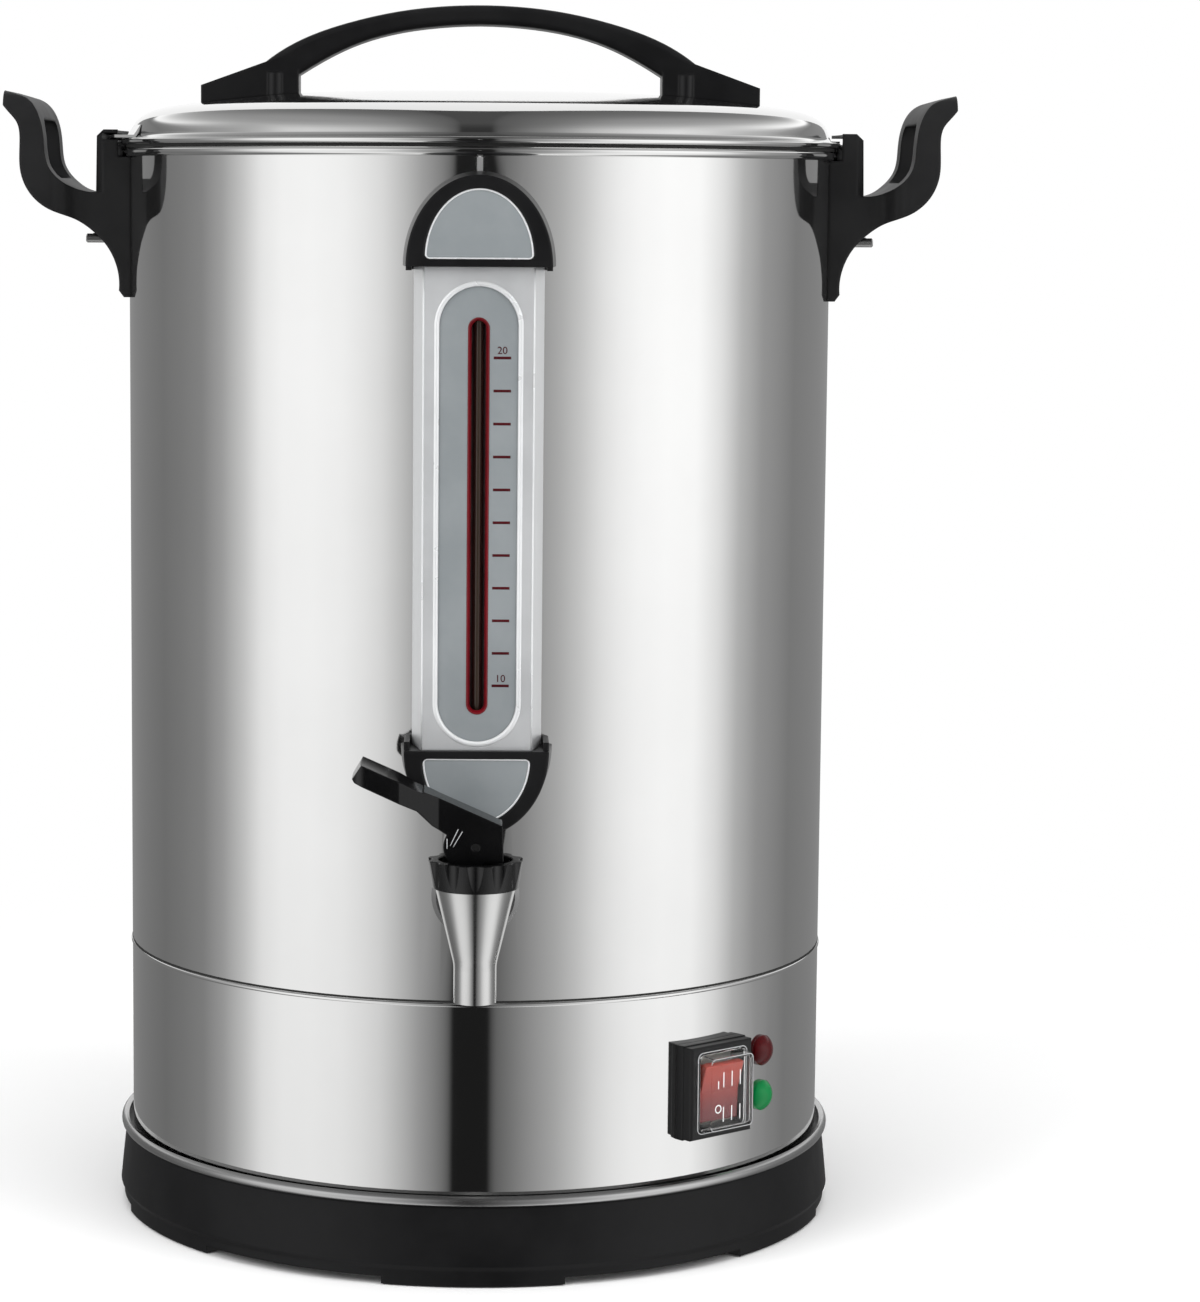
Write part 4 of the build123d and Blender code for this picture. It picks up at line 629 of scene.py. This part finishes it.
def turned_piece(name, profile, body, finish, count=192, replaces=()):
    """Closed piece from a profile (radius, height) that starts and ends on the urn's axis and is turned about
    it; the two axis points become single vertices, and edges sharper than the limit stay sharp."""
    rings = turned(profile[1:-1], full_turn(count)).swapaxes(0, 1)
    rows = len(rings)
    poles = np.array(((0, 0, profile[0, 1]), (0, 0, profile[-1, 1])))
    points = np.concatenate((rings.reshape(-1, 3), poles)) * mm
    index = np.arange(rows * count).reshape(rows, count)
    after = np.roll(index, -1, axis=1)
    walls = np.stack((index[:-1], index[1:], after[1:], after[:-1]), axis=2).reshape(-1, 4)
    top = np.stack((np.full(count, rows * count), index[0], after[0]), axis=1)
    bottom = np.stack((np.full(count, rows * count + 1), after[-1], index[-1]), axis=1)
    mesh = bpy.data.meshes.new(name)
    mesh.from_pydata(points.tolist(), [], walls.tolist() + top.tolist() + bottom.tolist())
    mesh.polygons.foreach_set("use_smooth", np.ones(len(mesh.polygons), dtype=bool))
    mesh.set_sharp_from_angle(angle=sharp_edge)
    return add_piece(name, mesh, body, finish, replaces)


def carried(path, section, way, closed=False):
    """Section (side, out) carried along a path on a face: side is square to the path in the face, out is the
    face's own direction."""
    if closed:
        run = np.roll(path, -1, axis=0) - np.roll(path, 1, axis=0)
    else:
        run = np.gradient(path, axis=0)
    run /= np.linalg.norm(run, axis=1, keepdims=True)
    side = np.cross(run, way)
    return path[:, None] + side[:, None] * section[None, :, :1] + way * section[None, :, 1:]


def crowned(width, height, count=9):
    """Section of a bead: half an ellipse standing on its flat side."""
    angle = np.linspace(0.0, pi, count)
    return np.stack((np.cos(angle) * width / 2, np.sin(angle) * height), axis=1)


def stadium_path(half, low, high, front, count=96):
    """Closed path of two half circles joined by straight runs, anticlockwise seen from the front."""
    angle = full_turn(count) + pi / count
    middle = np.where(angle < pi, high - half, low + half)
    return np.stack((half * np.cos(angle), np.full(count, front), middle + half * np.sin(angle)), axis=1)


def half_oval_path(half, tall, base, front, corner, count=160, fine=200):
    """Half ellipse closed by a straight base, spaced evenly and averaged over a corner's length."""
    angle = np.linspace(0.0, pi, fine * 2)
    across = np.concatenate((half * np.cos(angle), np.linspace(-half, half, fine)[1:]))
    up = np.concatenate((tall * np.sin(angle), np.zeros(fine - 1)))
    gone = np.concatenate(((0.0,), np.cumsum(np.hypot(np.diff(across), np.diff(up)))))
    even = np.arange(count) * gone[-1] / count
    spaced = np.stack((np.interp(even, gone, across), np.interp(even, gone, up)), axis=1)
    window = max(1, int(corner / gone[-1] * count))
    shifts = range(-window, window + 1)
    smooth = sum(np.roll(spaced, shift, axis=0) for shift in shifts) / len(shifts)
    return np.stack((smooth[:, 0], np.full(count, front), base + smooth[:, 1]), axis=1)


def straight_path(start, end, count=8):
    """Evenly spaced points between two places."""
    share = np.linspace(0.0, 1.0, count)[:, None]
    return np.array(start) * (1 - share) + np.array(end) * share


def smooth_through(points, count):
    """Natural cubic spline through points, on the length of the chords between them."""
    points = np.array(points, dtype=float)
    place = np.concatenate(((0.0,), np.cumsum(np.linalg.norm(np.diff(points, axis=0), axis=1))))
    step = np.diff(place)
    size = len(points)
    system = np.eye(size)
    bend = np.zeros_like(points)
    inner = np.arange(1, size - 1)
    system[inner, inner - 1] = step[:-1]
    system[inner, inner] = 2 * (step[:-1] + step[1:])
    system[inner, inner + 1] = step[1:]
    slope = np.diff(points, axis=0) / step[:, None]
    bend[1:-1] = 6 * np.diff(slope, axis=0)
    bend = np.linalg.solve(system, bend)
    at = np.linspace(0.0, place[-1], count)
    low = np.clip(np.searchsorted(place, at, side="right") - 1, 0, size - 2)
    wide = step[low][:, None]
    left, right = (at - place[low])[:, None], (place[low + 1] - at)[:, None]
    cubic = (bend[low] * right**3 + bend[low + 1] * left**3) / (6 * wide)
    from_low = (points[low] / wide - bend[low] * wide / 6) * right
    from_high = (points[low + 1] / wide - bend[low + 1] * wide / 6) * left
    return cubic + from_low + from_high


def arc(centre, radius, start, end, count=12):
    """Points of a circle's arc between two angles in degrees."""
    angle = np.radians(np.linspace(start, end, count))
    return np.stack((centre[0] + radius * np.cos(angle), centre[1] + radius * np.sin(angle)), axis=1)


# Lid: dome, hollow sweep, rounded flange and spigot as one turned sheet

lid_sheet = 0.8
dome_radius = shell_radius - 0.8
dome_drop = 18.6
# Shares of the dome's radius and drop; the first point lies past the axis, so the curve is level there
dome_shares = np.array((
    (-0.15, 0.0005), (0.0, 0.0), (0.15, 0.0005), (0.30, 0.002), (0.40, 0.006), (0.50, 0.020),
    (0.60, 0.075), (0.70, 0.160), (0.80, 0.260), (0.87, 0.335), (0.89, 0.360), (0.91, 0.392),
    (0.94, 0.463), (0.967, 0.575), (0.985, 0.700), (1.0, 1.0)))
axis_gap = 0.5
flange_head = flange_foot + 2.6
flange_round = 1.17
flange_round_place = flange_radius - flange_round
flange_land = (flange_radius - 1.9, flange_radius - 1.2)
sweep_radius = 2.55
sweep_middle = (flange_radius - 2.5, flange_head + 2.5)
spigot_outside = shell_radius - 1.8
spigot_inside = spigot_outside - lid_sheet
spigot_shoulder = 0.2


def lid_dome(inset, count):
    """Dome's section from the axis to its foot, moved in by an inset."""
    reach = dome_shares[:, 0] * (dome_radius - inset)
    height = lid_top - inset - dome_shares[:, 1] * dome_drop
    curve = smooth_through(np.stack((reach, height), axis=1), count)
    curve = curve[curve[:, 0] > axis_gap]
    return np.concatenate((((0.0, lid_top - inset),), curve))


lid_profile = np.concatenate((
    lid_dome(inset=0.0, count=160),
    arc(sweep_middle, sweep_radius, start=190, end=263),
    [(radius, flange_head) for radius in flange_land],
    arc((flange_round_place, flange_head - flange_round), flange_round, start=80, end=0),
    arc((flange_round_place, flange_foot + flange_round), flange_round, start=0, end=-90),
    ((spigot_outside, flange_foot), (spigot_outside, spigot_foot), (spigot_inside, spigot_foot),
     (spigot_inside, flange_foot + lid_sheet), (spigot_outside, flange_head + spigot_shoulder)),
    lid_dome(inset=lid_sheet, count=60)[::-1],
))
turned_piece("lid_skin", lid_profile, "lid", finishes["polished_steel"],
             replaces=("lid_shell",))


# Level gauge: scale marks, slot lining, painted highlights on its edges and rims, and numbers

mark_count = 11
mark_heights = np.linspace(gauge_low + 26.5, gauge_high - 36.4, mark_count)
mark_start, mark_end = 6.0, 13.0
mark_section = crowned(1.1, 0.12)
lining_inset = 0.7
slot_half = 4.4 - lining_inset
slot_low = gauge_low + 14.7 + lining_inset
slot_high = gauge_high - 20.2 - lining_inset
lining_section = np.array((
    (0.66, 0.14), (0.30, 0.16), (0.05, -0.1), (-0.75, -1.5), (-0.75, -2.4), (0.2, -2.4), (0.66, -0.8)))
recess_half = 16.4
recess_low = gauge_low + 3.1
recess_high = gauge_high - 7.3
rim_section = np.array((
    (-0.55, -0.9), (-0.5, -0.4), (-0.25, 0.02), (0.1, 0.26), (0.5, 0.36), (0.95, 0.30), (1.35, 0.14),
    (1.65, -0.1)))
# Places and sections of the painted highlights on the frame's edges and round the inserts
edge_place = 22.3
edge_section = crowned(0.7, 0.22)
outline_half = 21.5
outline_corner = 2.2
outline_section = crowned(0.8, 0.3)
outline_ends = ((27.6, top_insert_foot + 0.15), (-26.0, bottom_insert_head - 0.15))
figure_height = 4.2
figure_rise = 1.6
figure_lift = 0.02
figure_thickness = 0.06

grid_piece(
    "scale_marks",
    [carried(straight_path((mark_start, plate_front, z), (mark_end, plate_front, z)), mark_section, front_way)
     for z in mark_heights],
    "urn", paint["mark_red"])
lining_path = stadium_path(slot_half, slot_low, slot_high, plate_front)
grid_piece("slot_lining", [carried(lining_path, lining_section, front_way, closed=True)],
           "urn", finishes["signal_red"], along=True)
# Rounded rim round the plate's recess, lighter than the frame: a painted highlight
recess_path = stadium_path(recess_half, recess_low, recess_high, frame_front)
grid_piece("recess_rim", [carried(recess_path, rim_section, front_way, closed=True)],
           "urn", paint["pale_highlight"], along=True)
# Light lines down the frame's front edges: painted highlights
grid_piece(
    "frame_edge_highlights",
    [carried(straight_path((x, frame_front, gauge_low), (x, frame_front, gauge_high)), edge_section,
             front_way) for x in (-edge_place, edge_place)],
    "urn", paint["pale_highlight"])
# Pale beads round the caps' inserts: painted highlights on their edges
grid_piece(
    "insert_edge_highlights",
    [carried(half_oval_path(outline_half, tall, base, insert_front, outline_corner), outline_section,
             front_way, closed=True) for tall, base in outline_ends],
    "urn", paint["pale_highlight"], along=True)


def number_piece(name, words, place, way, side, body, finish):
    """Figures as a thin mesh, centred on a place and lying on a face given by its side and outward ways."""
    curve = bpy.data.curves.new(name, "FONT")
    curve.body = words
    curve.size = figure_height * mm
    curve.align_x = "CENTER"
    curve.extrude = figure_thickness * mm
    shape = bpy.data.objects.new(name + "_curve", curve)
    scene.collection.objects.link(shape)
    mesh = bpy.data.meshes.new_from_object(shape.evaluated_get(bpy.context.evaluated_depsgraph_get()))
    bpy.data.objects.remove(shape)
    bpy.data.curves.remove(curve)
    turn = Matrix(np.stack((side, np.cross(way, side), way), axis=1).tolist()).to_4x4()
    mesh.transform(Matrix.Translation(np.array(place) * mm) @ turn)
    mesh.name = name
    return add_piece(name, mesh, body, finish)


for words, mark in (("20", mark_heights[-1]), ("10", mark_heights[0])):
    place = ((mark_start + mark_end) / 2, plate_front - figure_lift, mark + figure_rise)
    number_piece("scale_number_" + words, words, place, front_way, right_way,
                 "urn", paint["mark_red"])


# Seam between the two shells: a dark ring in the gap as painted shade, over a rolled lip

shade_ring_half = 0.45
shade_ring_inside = shell_radius - 1.3
shade_ring_outside = shell_radius + 0.08
shade_ring_section = (
    (shade_ring_inside, seam_height - shade_ring_half), (shade_ring_outside, seam_height - shade_ring_half),
    (shade_ring_outside, seam_height + shade_ring_half), (shade_ring_inside, seam_height + shade_ring_half))
lip_round = 0.95
lip_inside = shell_radius - 1.0
lip_middle = (shell_radius - 0.45, seam_height - 1.45)
lip_section = np.concatenate((
    arc(lip_middle, lip_round, start=-100, end=100, count=15),
    ((lip_inside, lip_middle[1] + lip_round), (lip_inside, lip_middle[1] - lip_round))))
seam_angles = full_turn(256)

# Dark ring filling the seam's gap: painted shade
grid_piece("seam_shade_ring", [turned(shade_ring_section, seam_angles)], "urn", finishes["soft_rubber"],
           along=True)
grid_piece("seam_lip", [turned(lip_section, seam_angles)], "urn",
           finishes["polished_steel"], along=True)


# Pads of the side handles against the rim's bead

pad_low = rim_height - 4.0
pad_high = rim_height + 0.7
pad_inside = shell_radius + 3.1
pad_outside = flange_radius + 1.05
pad_section = ((pad_inside, pad_low), (pad_outside, pad_low), (pad_outside, pad_high), (pad_inside, pad_high))
pad_half_turn = radians(9.3)
pad_turn = np.linspace(-pad_half_turn, pad_half_turn, 24)

grid_piece("rim_pads", [turned(pad_section, middle + pad_turn) for middle in (0.0, pi)],
           "urn", handle_black)


# Tap's spring: a coil under the bonnet, from the plunger's top to the neck; the real spring shortens as the
# plunger lifts

spring_wire = 0.6
spring_radius = 5.2
spring_turns = 5
spring_low = plunger_top + spring_wire
spring_high = neck_top - spring_wire


def coil(low, high, radius, wire, turns, around_count=12, along_count=161):
    """Round wire carried up a helix about the tap's axis: its circle lies in the plane of axis and radius."""
    around = full_turn(around_count)
    share = np.linspace(0.0, 1.0, along_count)[:, None]
    turn = 2 * pi * turns * share
    reach = radius + wire * np.cos(around)
    height = low + (high - low) * share + wire * np.sin(around)
    return np.stack((reach * np.cos(turn), reach * np.sin(turn) + tap_axis, height), axis=2)


spring = grid_piece("spring_coil", [coil(spring_low, spring_high, spring_radius, spring_wire, spring_turns)],
                    "urn", finishes["plain_steel"], replaces=("tap_spring",))
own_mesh(spring)


# Ridges on the front of the lever's root, painted bright as highlights

ridge_section = crowned(0.42, 0.24)
# Two ends of each ridge, as places beside the tap's axis and above its neck
ridge_ends = (
    ((-7.0, 20.1), (-10.2, 13.3)),
    ((-5.3, 19.2), (-9.0, 12.8)),
    ((-11.45, 16.2), (-11.45, 12.0)),
)

grid_piece(
    "lever_ridge_highlights",
    [carried(straight_path((x, lever_front, neck_top + rise), (end_x, lever_front, neck_top + end_rise)),
             ridge_section, front_way) for (x, rise), (end_x, end_rise) in ridge_ends],
    "tap_lever", paint["bright_highlight"])


# Clear boot of the switch: painted highlights on its edges and ribs, and white signs, placed beside and above
# its middle

switch_turn = radians(40.0)
switch_way = np.array((np.sin(switch_turn), -np.cos(switch_turn), 0.0))
switch_side = np.array((np.cos(switch_turn), np.sin(switch_turn), 0.0))
boot_front = shell_radius + 14.4
boot_depth = 6.1
face_half, face_corner = (12.0, 15.4), 2.0
foot_half, foot_corner = (14.1, 17.4), 2.6
# Three columns of white strokes at top and bottom: painted highlights on the boot's ribs; then the I sign's
# stroke and the O sign's circle
rib_highlight_places = (-5.0, -0.2, 4.6)
rib_highlight_feet = (-11.8, 3.0)
rib_highlight_tall = 6.4
end_place = -8.0
end_tick = (2.6, 6.0)
circle_rise = -6.0
circle_radius = 1.6
face_bead = crowned(0.4, 0.12)
foot_bead = crowned(0.5, 0.3)
stroke = crowned(0.55, 0.1)


def on_boot(side, rise):
    """Places on the front of the boot, from distances beside and above its middle."""
    side = np.asarray(side)[..., None]
    rise = np.asarray(rise)[..., None]
    return switch_way * boot_front + switch_side * side + upright * (switch_height + rise)


def boot_frame(half, corner, lift, count=8):
    """Path round the boot's face from its lower left corner by the right to its upper left corner, the
    corners quarter circles, raised from the front by a lift."""
    turn = pi + np.add.outer(np.arange(4) * pi / 2, np.linspace(0.0, pi / 2, count)).ravel()
    left_right = np.repeat((-1, 1, 1, -1), count)
    down_up = np.repeat((-1, -1, 1, 1), count)
    side = left_right * (half[0] - corner) + corner * np.cos(turn)
    rise = down_up * (half[1] - corner) + corner * np.sin(turn)
    return on_boot(side, rise) + switch_way * lift


# Bright beads round the boot's face and foot: painted highlights
grid_piece("boot_edge_highlight", [carried(boot_frame(face_half, face_corner, lift=0.0), face_bead, switch_way)],
           "urn", paint["bright_highlight"])
foot_path = boot_frame(foot_half, foot_corner, lift=-boot_depth)
grid_piece("boot_foot_highlight", [carried(foot_path, foot_bead, switch_way, closed=True)],
           "urn", paint["bright_highlight"], along=True)
# White strokes: painted highlights on the ribs, then the I sign
highlight_and_sign_ends = [(side, foot, foot + rib_highlight_tall) for side in rib_highlight_places for foot in rib_highlight_feet]
highlight_and_sign_ends.append((end_place, *end_tick))
grid_piece(
    "boot_highlights_and_sign",
    [carried(straight_path(on_boot(side, foot), on_boot(side, head)), stroke, switch_way)
     for side, foot, head in highlight_and_sign_ends],
    "urn", paint["white_sign_and_highlight"])
turn = full_turn(40)
circle_path = on_boot(end_place + circle_radius * np.cos(turn), circle_rise + circle_radius * np.sin(turn))
grid_piece("boot_circle", [carried(circle_path, stroke, switch_way, closed=True)],
           "urn", paint["white_sign_and_highlight"], along=True)
